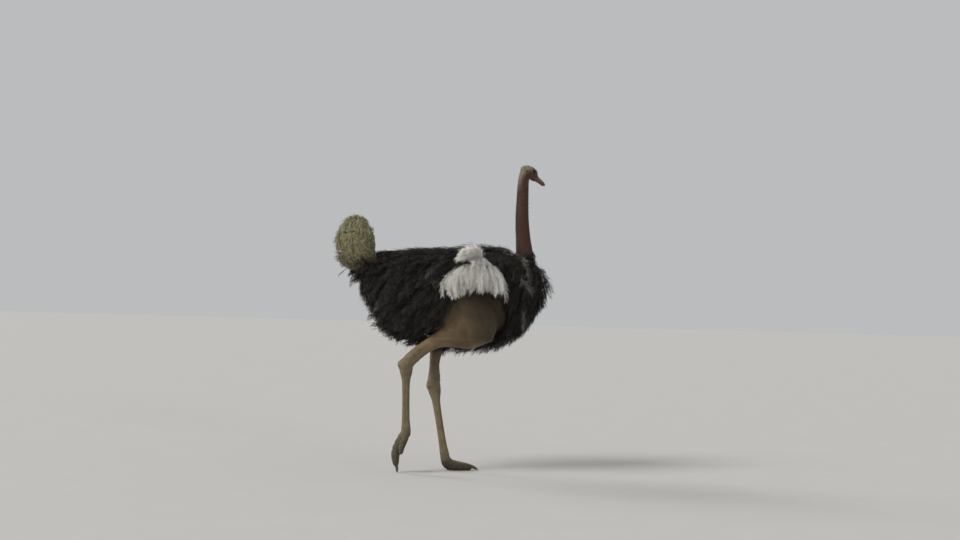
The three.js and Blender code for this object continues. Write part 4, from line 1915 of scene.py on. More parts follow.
@dataclass
class Bill:
    """The two halves of the bill, with culmen, nostrils, nail and cutting edges.

    Args:
        plan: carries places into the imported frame.
        upper: stations of the upper half in the head's frame.
        lower: stations of the lower half.
    """

    plan: Plan
    upper: Rows = (
        (0.106, 0, -0.0055, 0.0235, 0.017), (0.122, 0, -0.0075, 0.0236, 0.0158),
        (0.14, 0, -0.0095, 0.0233, 0.0146), (0.156, 0, -0.0118, 0.0222, 0.0136),
        (0.17, 0, -0.0144, 0.0203, 0.0125), (0.184, 0, -0.0174, 0.0173, 0.0115),
        (0.194, 0, -0.02, 0.0134, 0.01), (0.2005, 0, -0.0224, 0.0088, 0.0076),
    )
    lower: Rows = (
        (0.1, 0, -0.022, 0.0232, 0.0112), (0.12, 0, -0.0222, 0.023, 0.0108),
        (0.138, 0, -0.0228, 0.022, 0.0098), (0.156, 0, -0.024, 0.0203, 0.0086),
        (0.172, 0, -0.026, 0.0176, 0.0074), (0.186, 0, -0.0282, 0.013, 0.0058),
        (0.193, 0, -0.0292, 0.009, 0.0044),
    )

    def half(self, name: str, rows: Rows, egg: float) -> Object:
        """A lofted half of the bill."""
        stations = self.plan.place(Head.on_head(rows))
        return loft(name, Sleeve(stations, facing=Head.axes()[0], egg=egg, domes=(0.3, 0.45)), 72, 64)

    @staticmethod
    def mouth(forward: Array) -> Array:
        """The height in the head's frame where the two halves meet."""
        return -0.018 - 0.0025 * ease(0.1, 0.17, forward) - 0.0045 * ease(0.165, 0.205, forward)

    def shape(self, obj: Object, top: bool) -> None:
        """Works the culmen, nostril slits, nail and edge into one half.

        Args:
            obj: the mesh object.
            top: whether it is the upper half.
        """
        points, normals = places(obj), point_normals(obj)
        _, up = Head.axes()
        f, s, _ = Head.to_head(points, self.plan).T
        s = np.abs(s)
        facing_up = normals @ up
        outer = ease(0.1, 0.6, facing_up if top else -facing_up)
        edge = bump(0, 0.25, facing_up)
        if top:
            culmen = bump(0, 0.0062, s) * ease(0.192, 0.176, f)
            groove = bump(0.0098, 0.0022, s) * ease(0.112, 0.124, f) * ease(0.178, 0.166, f)
            nostril = bump(0.0104, 0.0019, s) * bump(0.143, 0.0105, f)
            lift = outer * (0.0014 * culmen - 0.0009 * groove - 0.003 * nostril)
            nail = ease(0.1795, 0.1825, f) * ease(0.0125, 0.0095, s)
            step = bump(0.1795, 0.0018, f) * ease(0.0125, 0.0095, s)
            lift += outer * (0.0011 * nail - 0.0006 * step)
        else:
            ramus = bump(0.0, 0.0045, s) * ease(0.166, 0.15, f)
            nail = ease(0.1665, 0.169, f) * ease(0.0095, 0.007, s)
            lift = outer * (0.0008 * nail - 0.0016 * ramus)
        points = points + normals * (lift + 0.0006 * edge)[:, None]
        seam = self.mouth(f)
        if top:
            points = points - up * (0.0016 * ease(0.186, 0.203, f))[:, None]
            seam = seam + 0.0003 - 0.0022 * ease(0.19, 0.203, f)
            push = np.maximum(seam - Head.to_head(points, self.plan)[:, 2], 0)
        else:
            push = np.minimum(seam - 0.0003 - Head.to_head(points, self.plan)[:, 2], 0)
        move_to(obj, points + up * push[:, None])
        note(obj, "along", np.clip((f - 0.1) / 0.1, 0, 1))
        note(obj, "edge", edge)

    def build(self, material: Material) -> None:
        """Makes both halves and dresses them.

        Args:
            material: the material it gets.
        """
        top, bottom = self.half("bill_top", self.upper, -0.42), self.half("bill_bottom", self.lower, 0.42)
        for obj, node in ((top, "bill_upper"), (bottom, "bill_lower")):
            self.shape(obj, obj is top)
            finish_piece(obj, "horn", material, node)


@dataclass
class Claws:
    """The great toes' claws, ridged lengthwise and worn blunt.

    Args:
        flesh: gives the claws' bodies.
    """

    flesh: Flesh

    @staticmethod
    def ridged(u: Array, angle: Array) -> Array:
        """The section's size: a ridge on top and a hollow below."""
        return 1 + 0.035 * np.maximum(np.sin(angle), 0) ** 4 - 0.05 * np.maximum(-np.sin(angle), 0) ** 3

    def build(self, material: Material) -> None:
        """Makes both claws and dresses them.

        Args:
            material: the material it gets.
        """
        for side in Side:
            sleeve = self.flesh.claw(side)
            sleeve.domes, sleeve.shape = (0.3, 0.8), self.ridged
            obj = loft(f"nail_{side.word}", sleeve, 40, 40)
            points = places(obj)
            points[:, 2] = np.maximum(points[:, 2], GROUND)
            away = np.linalg.norm(points - sleeve.stations[0, :3], axis=1)
            move_to(obj, points)
            note(obj, "along", np.clip(0.72 + away / 0.2, 0, 1))
            note(obj, "edge", np.zeros(len(points)))
            finish_piece(obj, "horn", material, f"claw_{side.word}")


@dataclass
class Scutes:
    """Overlapping horny plates down the front of the shanks and along the toes.

    Args:
        flesh: gives the bodies they lie on.
        thick: how far a plate's lower edge stands off.
        lowest: the lowest that a plate reaches.
    """

    flesh: Flesh
    thick: float = 0.0019
    lowest: float = 0.0008

    def plate(self) -> tuple[Array, Array]:
        """One plate's grid: where each point lies across, along and above it, and its faces.

        Returns:
            The points, and the faces as their numbers.
        """
        deselect()
        bpy.ops.mesh.primitive_grid_add(x_subdivisions=8, y_subdivisions=4, size=2)
        obj = bpy.context.object
        apply_modifier(obj, "SOLIDIFY", thickness=0.4, offset=-1.0)
        outward(obj)
        points = places(obj)
        faces = np.array([tuple(p.vertices) for p in obj.data.polygons])
        bpy.data.objects.remove(obj)
        return points, faces

    def row(self, grid: Array, sleeve: Sleeve, at: Array, half: Array, wrap: float, seed: int) -> list[Array]:
        """A row of plates down the front of a body.

        Args:
            grid: one plate's points.
            sleeve: the body.
            at: the plates' middles along it.
            half: half the length of each, as a share of the path.
            wrap: how far round the body they reach, as an angle each way.
            seed: picks their small differences.

        Returns:
            The points of each plate.
        """
        rng = np.random.default_rng(seed)
        across, along, above = grid.T
        made = []
        for u, h in zip(at, half):
            skew = rng.normal(0, 0.1)
            reach = wrap * (1 + rng.normal(0, 0.06))
            rounded = 1 - 0.22 * np.abs(across) ** 3
            where = np.clip(u + h * (along * rounded * 1.12 + skew * across * 0.5), 0, 1)
            turn = math.pi / 2 + across * reach * (1 - 0.1 * np.abs(along) ** 3)
            crown = (1 - across**4) * (1 - np.abs(along) ** 6)
            top = self.thick * (0.25 + 0.75 * (along + 1) / 2) * (0.35 + 0.65 * crown)
            grow = np.where(above > -0.2, top, -0.0012)
            made.append(sleeve.at(where, turn) + sleeve.normals(where, turn)[0] * grow[:, None])
        return made

    def build(self, material: Material) -> None:
        """Makes every plate as one piece and dresses it.

        Args:
            material: the material it gets.
        """
        grid, faces = self.plate()
        made: list[Array] = []
        for side in Side:
            rows = (
                (self.flesh.shank(side), np.linspace(0.09, 0.965, 34), np.full(34, 0.0148), 0.86),
                (self.flesh.toe_inner(side), np.linspace(0.1, 0.93, 15), np.linspace(0.036, 0.03, 15), 0.95),
                (self.flesh.toe_outer(side), np.linspace(0.16, 0.92, 9), np.full(9, 0.052), 0.9),
            )
            for n, row in enumerate(rows):
                made += self.row(grid, *row, 40 + n + 7 * side.value)
        points = np.vstack(made)
        points[:, 2] = np.maximum(points[:, 2], self.lowest)
        index = (np.arange(len(made))[:, None, None] * len(grid) + faces[None]).reshape(-1, faces.shape[1])
        obj = new_object("scutes", points, index.tolist())
        note(obj, "wear", np.tile(np.abs(grid[:, :2]).max(1), len(made)))
        note(obj, "toe", self.flesh.on_toes(points))
        outward(obj)
        finish_piece(obj, "leg_scales", material)


# ---- plumage ----


@dataclass
class Coat:
    """All the plumage.

    Args:
        flesh: the bodies that it grows from.
        skin: the skin over them.
        black: the black plumage's finish.
        bridged: how deep roots may lie below the skin and still come up to it.
        buried: how deep they may lie at all.
        gap: the least distance of a filling plume's root from all others.
    """

    flesh: Flesh
    skin: Object
    black: Material
    bridged: Pair = (0.005, 0.034)
    buried: float = 0.045
    gap: float = 0.0235

    def __post_init__(self) -> None:
        """Readies the search for the nearest skin, and the list of all black plumes' roots."""
        mesh = self.skin.data
        self.tree = BVHTree.FromPolygons([v.co for v in mesh.vertices], [p.vertices for p in mesh.polygons])
        self.grown: list[Array] = []

    def surfaced(self, roots: Roots) -> Roots:
        """Roots just under the skin, where it bridges bodies, come up to it, and deep ones are dropped.

        Args:
            roots: where the plumes grow.

        Returns:
            The roots that are kept.
        """
        depth = np.zeros(len(roots.place))
        for n, place in enumerate(roots.place):
            hit, normal, _, _ = self.tree.find_nearest(Vector(place))
            depth[n] = (hit - Vector(place)).dot(normal)
            if self.bridged[0] < depth[n] < self.bridged[1]:
                roots.place[n] = np.array(hit) - np.array(normal) * 0.003
                roots.normal[n] = normal
        return roots.only(depth < self.buried)

    def trimmed(
        self, roots: Roots, lie: Array, kind: PlumeKind, length: Array, seed: int
    ) -> tuple[Array, Array]:
        """Shafts that end where the bare legs begin, and which of them are worth keeping.

        Args:
            roots: where the plumes grow.
            lie: the way they lie.
            kind: the kind of plume.
            length: how long they are.
            seed: the seed of their random numbers.

        Returns:
            The shafts, and a mark for each that is kept.
        """
        lines = shafts(roots, lie, kind, length, np.random.default_rng(seed))
        at, _ = along_lines(lines, np.repeat(np.linspace(0, 1, 15)[None], len(lines), 0))
        depth = self.flesh.bare_leg(at.reshape(-1, 3), 0.01).reshape(at.shape[:2])
        inside = (depth > 0) & (np.abs(at[..., 1]) > 0.1)
        first = np.where(inside.any(1), inside.argmax(1) / 14, 1.0)
        lines = shafts(roots, lie, kind, length * np.clip(first, 0.2, 1), np.random.default_rng(seed))
        return lines, first > 0.2

    def clear(self, points: Array) -> Array:
        """Which points lie off the bare legs."""
        return (self.flesh.bare_leg(points) < 0) | (np.abs(points[:, 1]) < 0.09)

    def body_lie(self, roots: Roots) -> Array:
        """The way that body plumes lie: back along the trunk, drooping down its sides.

        Args:
            roots: where the plumes grow.

        Returns:
            A direction for each root.
        """
        steep = ease(0.9, -0.2, roots.normal[:, 2])
        lie = -FORWARD - UP * (0.25 + 0.75 * steep)[:, None]
        lie = lie + ACROSS * (np.clip(roots.place[:, 1] / 0.14, -1, 1) * 0.35)[:, None]
        chest = ease(0.5, 0.68, roots.place[:, 0] - self.flesh.plan.shift)
        return lie - UP * (0.9 * chest)[:, None]

    def piece(self, name: str, slot: str, material: Material, plumes: tuple, *nodes: str) -> None:
        """One piece of plumage.

        Args:
            name: the name it gets.
            slot: handed on to finish_piece, which does not use it.
            material: the material it gets.
            plumes: what feather wants, apart from its last argument.
            nodes: the nodes it stands for.
        """
        finish_piece(strand_object(name, feather(*plumes, self.clear)), slot, material, *nodes)

    def black_piece(
        self, name: str, roots: Roots, lines: Array, at: Array, kind: PlumeKind, rng: Rng, *nodes: str
    ) -> None:
        """Feathers these shafts as one piece of black plumage.

        Args:
            name: of the piece.
            roots: where the shafts grow.
            lines: the shafts.
            at: the places that say how marked each plume is.
            kind: the kind of plume.
            rng: the source of small differences.
            *nodes: the nodes that the piece stands for.
        """
        tone = rng.beta(1.6, 3.2, len(lines))
        mark = np.clip(markings(at, self.flesh.plan) * (0.45 + rng.normal(0, 0.2, len(lines))), 0, 1)
        plumes = (lines, roots.normal, kind, roots.map, tone, mark, rng)
        self.piece(name, "black_plumage", self.black, plumes, *nodes)

    def grow(
        self, name: str, roots: Roots, kind: PlumeKind, seed: int, lie: Callable[[Roots], Array],
        length: Callable[[Roots], Array | float] = lambda roots: 1.0, nodes: Sequence[str] = (),
    ) -> None:
        """Grows one piece of black plumage.

        Args:
            name: of the piece.
            roots: where the plumes grow.
            kind: the kind of plume.
            seed: picks the small differences.
            lie: the way plumes lie at their roots.
            length: their length at their roots, as a share of the kind's.
            nodes: the nodes that the piece stands for.
        """
        roots = self.surfaced(roots)
        rng = np.random.default_rng(seed + 5)
        size = kind.length * (1 + rng.normal(0, 0.14, len(roots.place))) * length(roots)
        lines, kept = self.trimmed(roots, lie(roots), kind, size, seed + 9)
        roots, lines = roots.only(kept), lines[kept]
        self.grown.append(roots.place)
        self.black_piece(name, roots, lines, lines[:, kind.steps // 2], kind, rng, *nodes)

    def body_length(self, roots: Roots) -> Array:
        """Body plumes are shorter on the underside, the rump and the low breast.

        Args:
            roots: where the plumes grow.

        Returns:
            A share of the full length for each root.
        """
        x = roots.place[:, 0] - self.flesh.plan.shift
        under = ease(-0.2, -0.9, roots.normal[:, 2])
        low_breast = ease(0.62, 0.72, x) * ease(1.3, 1.1, roots.place[:, 2])
        return 1 - 0.08 * under - 0.42 * ease(-0.25, -0.5, x) - 0.35 * low_breast

    def ruff_lie(self, roots: Roots) -> Array:
        """The ruff's plumes lie down, and back or outwards from the neck."""
        away = (roots.place - self.flesh.neck().stations[2, :3]) / 0.07
        lie = -UP + FORWARD * (np.clip(away[:, 0], -1, 0.05) * 0.6)[:, None]
        return lie + ACROSS * (np.clip(away[:, 1], -1, 1) * 0.4)[:, None]

    def body(self) -> None:
        """The black plumes of the trunk, the tail's root and the neck's base."""
        soft = PlumeKind(0.175, 0.52, 0.08, 0.3, 15, 0.058, 0.0021)
        high = PlumeKind(0.165, 0.66, 0.14, 0.26, 15, 0.053, 0.002)
        chest = PlumeKind(0.12, 0.54, 0.08, 0.24, 14, 0.043, 0.0018)
        stub = PlumeKind(0.085, 0.55, 0.1, 0.35, 12, 0.036, 0.0018)
        ruff = PlumeKind(0.11, 0.8, 0.15, 0.16, 11, 0.032, 0.0015, wander=0.25)
        parts = (
            ("plumage_rump", high, 0.03, (0.0, 0.27), (0, 360)),
            ("plumage_back", high, 0.03, (0.27, 0.62), (45, 135)),
            ("plumage_left", soft, 0.03, (0.27, 0.62), (-40, 45)),
            ("plumage_right", soft, 0.03, (0.27, 0.62), (135, 220)),
            ("plumage_belly", high, 0.0282, (0.27, 0.62), (220, 320)),
            ("plumage_breast", chest, 0.0255, (0.62, 1.0), (0, 360)),
        )
        for n, (name, kind, spacing, reach, turn) in enumerate(parts):
            seed = 100 + 10 * n
            roots = scatter(self.flesh.trunk(), spacing, seed, reach, turn)
            self.grow(name, roots, kind, seed, self.body_lie, self.body_length)
        roots = scatter(self.flesh.rump(), 0.025, 180, (0.05, 1.0), (0, 360))
        self.grow("plumage_tail_base", roots, stub, 180, self.body_lie)
        roots = scatter(self.flesh.neck(), 0.0182, 190, (0.02, 0.33), (0, 360))
        self.grow("plumage_neck_base", roots, ruff, 190, self.ruff_lie,
                  lambda roots: 1.3 - 1.1 * ease(1.28, 1.5, roots.place[:, 2]))

    def wisps(self) -> None:
        """Frayed pale wisps that lie over the black plumage along two of the pale strokes."""
        kind = PlumeKind(0.07, barbs=13, barb_length=0.03, barb_width=0.0011, shaft_width=0.0011,
                         spread=0.6, loose=0.4)
        each = 7
        rng = np.random.default_rng(290)
        lines, maps = [], []
        side = Side.RIGHT.value
        for start, end, half in STROKES[2:4]:
            a, b = np.array(start), np.array(end)
            step = np.array([(b - a)[0], 0, (b - a)[1]]) / np.linalg.norm(b - a) * 0.062
            for n in range(each):
                x, z = a + (b - a) * (n + 0.5) / each + rng.normal(0, half * 0.45, 2) - (0.04, 0)
                beside = Vector((x + self.flesh.plan.shift, side * 1.0, z))
                hit, normal, _, _ = self.tree.ray_cast(beside, Vector((0, -side, 0)))
                if hit is None:
                    continue
                hit, normal = np.array(hit), np.array(normal)
                path = np.linspace(0, 1, 6)[:, None] * step + hit + normal * 0.05
                path = path + rng.normal(0, 0.0025, path.shape)
                lines.append(path - normal * 0.03 * np.array([1, 0.2, 0, 0, 0.1, 0.3])[:, None])
                maps.append(((n + 0.5) / each, (z - 0.98) / 0.32))
        lines = np.array(lines)
        face = ACROSS * np.sign(lines[:, 2, 1])[:, None]
        tone = np.clip(rng.normal(0.45, 0.2, len(lines)), 0, 1)
        mark = np.clip(rng.normal(0.5, 0.15, len(lines)), 0, 1)
        maps = np.clip(np.array(maps), 0.02, 0.98)
        self.piece("plumage_wisps", "black_plumage", self.black, (lines, face, kind, maps, tone, mark, rng))

    def wings(self) -> None:
        """The black coverts of the folded wings."""
        covert = PlumeKind(0.165, 0.36, 0.04, 0.3, 14, 0.05, 0.0021)
        for side, turn in ((Side.LEFT, (-75, 185)), (Side.RIGHT, (-5, 255))):

            def lie(roots: Roots) -> Array:
                """Coverts lie back and down, the more so towards the wing's tip and on its outside."""
                fall = ease(0.2, 1.0, roots.where[:, 0])
                inner = ease(0.3, -0.5, roots.normal[:, 1] * side.value)
                lay = -FORWARD - UP * (0.55 + 0.3 * fall - 0.55 * inner)[:, None]
                return lay + ACROSS * (side.value * 0.1 * inner)[:, None]

            seed = 220 + side.value
            roots = scatter(self.flesh.wing(side), 0.0215, seed, (0.0, 1.0), turn)
            self.grow(f"coverts_{side.word}", roots, covert, seed, lie, nodes=[f"wing_{side.word}"])

    def fill_gaps(self) -> None:
        """Plumes on the upper stretches of skin that no other root has come near."""
        points, normals = places(self.skin), point_normals(self.skin)
        upper = (normals[:, 2] > 0.15) & (points[:, 2] > 1.28) & (points[:, 2] < 1.5)
        points, normals = points[upper], normals[upper]
        taken = KDTree(sum(len(p) for p in self.grown))
        for n, place in enumerate(np.concatenate(self.grown)):
            taken.insert(place, n)
        taken.balance()
        rng = np.random.default_rng(310)
        chosen: list[int] = []
        for n in rng.permutation(len(points)):
            near = min([taken.find(points[n])[2]] + [math.dist(points[n], points[m]) for m in chosen])
            if near > self.gap:
                chosen.append(int(n))
        place, flat = points[chosen], points[chosen, :2]
        unwrapped = 0.03 + 0.94 * (flat - flat.min(0)) / (flat.max(0) - flat.min(0))
        roots = Roots(place, normals[chosen], unwrapped, unwrapped)
        kind = PlumeKind(0.13, 0.42, 0.08, 0.26, 14, 0.046, 0.002)
        size = kind.length * (1 + rng.normal(0, 0.14, len(place)))
        lines = shafts(roots, self.body_lie(roots), kind, size, rng)
        self.black_piece("plumage_between", roots, lines, place, kind, rng)

    def white_plumes(self, material: Material) -> None:
        """The long white plumes that hang from each folded wing, with a few that stand up.

        Args:
            material: the material it gets.
        """
        kind = PlumeKind(0.3, barbs=60, barb_length=0.046, barb_width=0.0012, shaft_width=0.0014, spread=1.05,
                         loose=0.36, droop=0.5, curl=0.42, sweep=0.5, narrow=0.4, bare=0.05, steps=8)
        for side in Side:
            rng = np.random.default_rng(310 + side.value)
            lines = []
            for n in range(80):
                fan = -1 + 2 * ((n + 0.5) / 80) ** 1.12 + rng.normal(0, 0.04)
                out = 0.29 + 0.03 * rng.random()
                rear, front = max(-fan, 0.0), max(fan, 0.0)
                low = 1.228 - 0.042 * rear - 0.082 * front**1.5 + rng.normal(0, 0.014)
                root = (0.15 + 0.045 * fan, out - 0.02, 1.375 + 0.02 * rng.random())
                drop = 1.375 - 0.07 * rear - 0.02 * front
                bend = (0.15 - 0.27 * rear + 0.2 * front, out + 0.06, drop)
                x = 0.15 - 0.215 * rear + 0.18 * front + rng.normal(0, 0.012)
                lines.append((root, bend, (x, out + 0.045 + rng.normal(0, 0.014), low)))
            for n in range(16):
                lean = float(np.clip(rng.normal(0, 0.6), -1, 1))
                root = (0.155 + 0.03 * lean, out, 1.415)
                bend = (0.15 + 0.055 * lean, 0.35, 1.425 + rng.normal(0, 0.012))
                lines.append((root, bend, (0.15 + 0.075 * lean, 0.345, 1.315 + rng.normal(0, 0.015))))
            for n in range(24):
                lean = float(np.clip(rng.normal(-0.35, 0.7), -1.4, 0.7))
                out = 0.275 + 0.05 * rng.random()
                high = (1.497 if side is Side.RIGHT else 1.435) + rng.normal(0, 0.01)
                root = (0.165 + 0.02 * lean, out, 1.345)
                bend = (0.15 + 0.04 * lean, out + 0.005, high + 0.03 - 0.02 * abs(lean))
                end = (0.11 + 0.075 * lean - 0.02, out + 0.03, high - 0.03 - 0.03 * abs(lean))
                lines.append((root, bend, end))
            ends = np.array(lines) * np.array([1, side.value, 1])
            ends[..., 0] += self.flesh.plan.shift
            path = arched(ends, kind.steps, 7, rng)
            face = np.repeat((ACROSS * side.value)[None], len(lines), 0) + rng.normal(0, 0.3, (len(lines), 3))
            order = np.argsort(ends[:, 2, 0])
            share = np.empty(len(lines))
            share[order] = np.linspace(0.03, 0.97, len(lines))
            maps = np.stack([share, 0.03 + 0.94 * rng.random(len(lines))], axis=1)
            tone = np.clip(0.72 + rng.normal(0, 0.16, len(lines)), 0, 1)
            plumes = (path, unit(face), kind, maps, tone, np.zeros(len(lines)), rng)
            nodes = (f"wing_plumes_{side.word}",)
            self.piece(f"white_plumes_{side.word}", "white_plumage", material, plumes, *nodes)

    def tail(self, material: Material) -> None:
        """The full, soft tail: plumes that rise from the rump, arch over and fall on all sides.

        Args:
            material: the material it gets.
        """
        kind = PlumeKind(0.4, barbs=40, barb_length=0.056, barb_width=0.0014, shaft_width=0.0013, spread=1.05,
                         loose=0.24, droop=0.55, curl=0.95, sweep=0.55, narrow=0.4, bare=0.26, steps=9,
                         barb_steps=4)
        shift = self.flesh.plan.shift
        rng = np.random.default_rng(401)
        lines, deep = [], []
        middle = np.array([-0.586, 0.0, 1.486])
        size = np.array([0.112, 0.122, 0.16])

        def on_ball(turn: float, off: float, out: float) -> Array:
            """The place on the tail's round outline at a turn and an angle off the upright."""
            way = np.array([math.cos(turn) * math.sin(off), math.sin(turn) * math.sin(off), math.cos(off)])
            return middle + size * way * out

        for many, ring, wide in ((38, 0.32, 0.2), (58, 1.26, 0.17), (46, 2.12, 0.14)):
            for n in range(many):
                turn = (n + rng.normal(0, 0.3)) * 2 * math.pi / many + ring
                off = abs(ring + rng.normal(0, wide))
                crest = on_ball(turn, off, 1.00 + 0.07 * rng.random())
                root = np.array([-0.455, 0.085 * math.sin(turn), 1.315 + 0.03 * rng.random()])
                end = on_ball(turn + rng.normal(0, 0.12), min(off + 0.66 + 0.08 * rng.random(), 2.75), 1.04)
                lines.append((root, (crest - 0.16 * root - 0.36 * end) / 0.48, end))
                deep.append(off)
        ends = np.array(lines)
        ends[..., 0] += shift
        path = arched(ends, kind.steps, 6, rng)
        face = unit(path[:, -3] - middle - FORWARD * shift + rng.normal(0, 0.012, (len(lines), 3)))
        disc = np.stack([ends[:, 2, 0] - ends[:, 2, 0].mean(), ends[:, 2, 1]], 1) / np.array([0.14, 0.155])
        maps = np.clip(0.5 + 0.47 * disc, 0.02, 0.98)
        # painted shade: the lower plumes, round the tail's underside, are darker
        tone = 0.85 + rng.normal(0, 0.12, len(lines)) - 0.5 * ease(1.4, 2.1, np.array(deep))
        plumes = (path, face, kind, maps, np.clip(tone, 0, 1), np.zeros(len(lines)), rng)
        self.piece("tail_plumes", "tail_plumage", material, plumes, "tail")

    def skin_roots(self, spacing: float, rng: Rng) -> Roots:
        """Roots strewn by area over the skin of the neck and head, mapped by turn and height.

        Args:
            spacing: how far apart they stand.
            rng: the source of random numbers.

        Returns:
            The roots.
        """
        points, normals = places(self.skin), point_normals(self.skin)
        faces = np.array([tuple(p.vertices) for p in self.skin.data.polygons if len(p.vertices) == 4])
        middle = points[faces].mean(1)
        low, tall, behind = 1.4, 0.72, 0.49
        faces = faces[(middle[:, 2] > low) & (middle[:, 0] - self.flesh.plan.shift > behind)]
        corners = points[faces]
        area = np.linalg.norm(np.cross(corners[:, 2] - corners[:, 0], corners[:, 3] - corners[:, 1]), axis=1)
        count = int(area.sum() / 2 / spacing**2)
        chosen = rng.choice(len(faces), count, p=area / area.sum())
        a, b = rng.random((2, count, 1))
        share = np.stack([(1 - a) * (1 - b), a * (1 - b), a * b, (1 - a) * b], axis=1)
        place = (corners[chosen] * share).sum(1)
        normal = unit((normals[faces[chosen]] * share).sum(1))
        rows = self.flesh.neck().stations
        ahead = place[:, 0] - np.interp(place[:, 2], rows[:, 2], rows[:, 0])
        turn = np.arctan2(place[:, 1], ahead) / (2 * math.pi)
        where = np.stack([turn + 0.5, (place[:, 2] - low) / tall], axis=1)
        return Roots(place, normal, where, 0.02 + 0.96 * where)

    def neck_down(self, material: Material) -> None:
        """Short sparse down over the neck and head, thicker along the nape and crown, and the lashes.

        Args:
            material: the material it gets.
        """
        eyes = Eyes(self.flesh.plan)
        rng = np.random.default_rng(530)
        roots = self.skin_roots(0.0023, rng)
        f = Head.to_head(roots.place, self.flesh.plan)[:, 0]
        high = roots.place[:, 2]
        on_head = ease(1.96, 2.03, high)
        nape = ease(-0.35, -0.92, roots.normal[:, 0])
        nape = nape + (Head.crown_share(roots.normal) - nape) * on_head
        on_face = ease(0.06, 0.115, f) * ease(1.88, 1.96, high)
        wanted = (0.34 + 0.66 * nape) * 0.49 * (1 - on_head) + (0.2 + 0.8 * nape) * on_head
        wanted = wanted * (1 - 0.97 * on_face)
        for side in Side:
            r, off, turn = eyes.polar(roots.place, side)
            wanted = np.where((r < 0.03) & (off < eyes.gap(turn) + 0.3), 0, wanted)
        kept = rng.random(len(high)) < wanted
        roots, nape, high, on_head = roots.only(kept), nape[kept], high[kept], on_head[kept]
        place, normal = roots.place, roots.normal
        lay = -UP + (np.array([-0.85, 0, -0.25]) + UP) * on_head[:, None]
        lay = unit(lay - normal * (normal * lay).sum(1, keepdims=True) + rng.normal(0, 0.2, normal.shape))
        way = unit(lay + normal * (0.22 + 0.16 * nape)[:, None] * (1 + rng.normal(0, 0.3, (len(place), 1))))
        size = (0.008 + 0.0055 * nape) * (1 + rng.normal(0, 0.22, len(place)))
        t = np.linspace(0, 1, 3)[None, :, None]
        line = place[:, None] - normal[:, None] * 0.0008
        line = line + size[:, None, None] * (way[:, None] * t - (normal * 0.22)[:, None] * t**2)
        width = np.repeat(np.array([[0.00048, 0.00034, 0.0001]]), len(place), 0)
        # down that faces back and up is lighter and paler: partly its own cast, partly painted rim light on
        # the nape and painted top light on the crown
        tone = np.clip(0.5 + 0.3 * nape + rng.normal(0, 0.2, len(place)), 0, 1)
        pale = nape * ease(1.45, 1.6, high) * (0.07 + 0.93 * ease(1.88, 2.00, high))
        base = ease(1.58, 1.46, high)
        flat = unit(np.cross(way, normal))
        strands = Strands(line, width, flat, roots.map, tone * (1 - base), pale * (1 - base), base)
        finish_piece(strand_object("neck_down", [strands]), "neck_skin", material)
        lashes = eyes.lashes(np.random.default_rng(560))
        finish_piece(strand_object("lashes", lashes, thickness=0.8), "black_plumage", self.black)


# ---- finishes ----


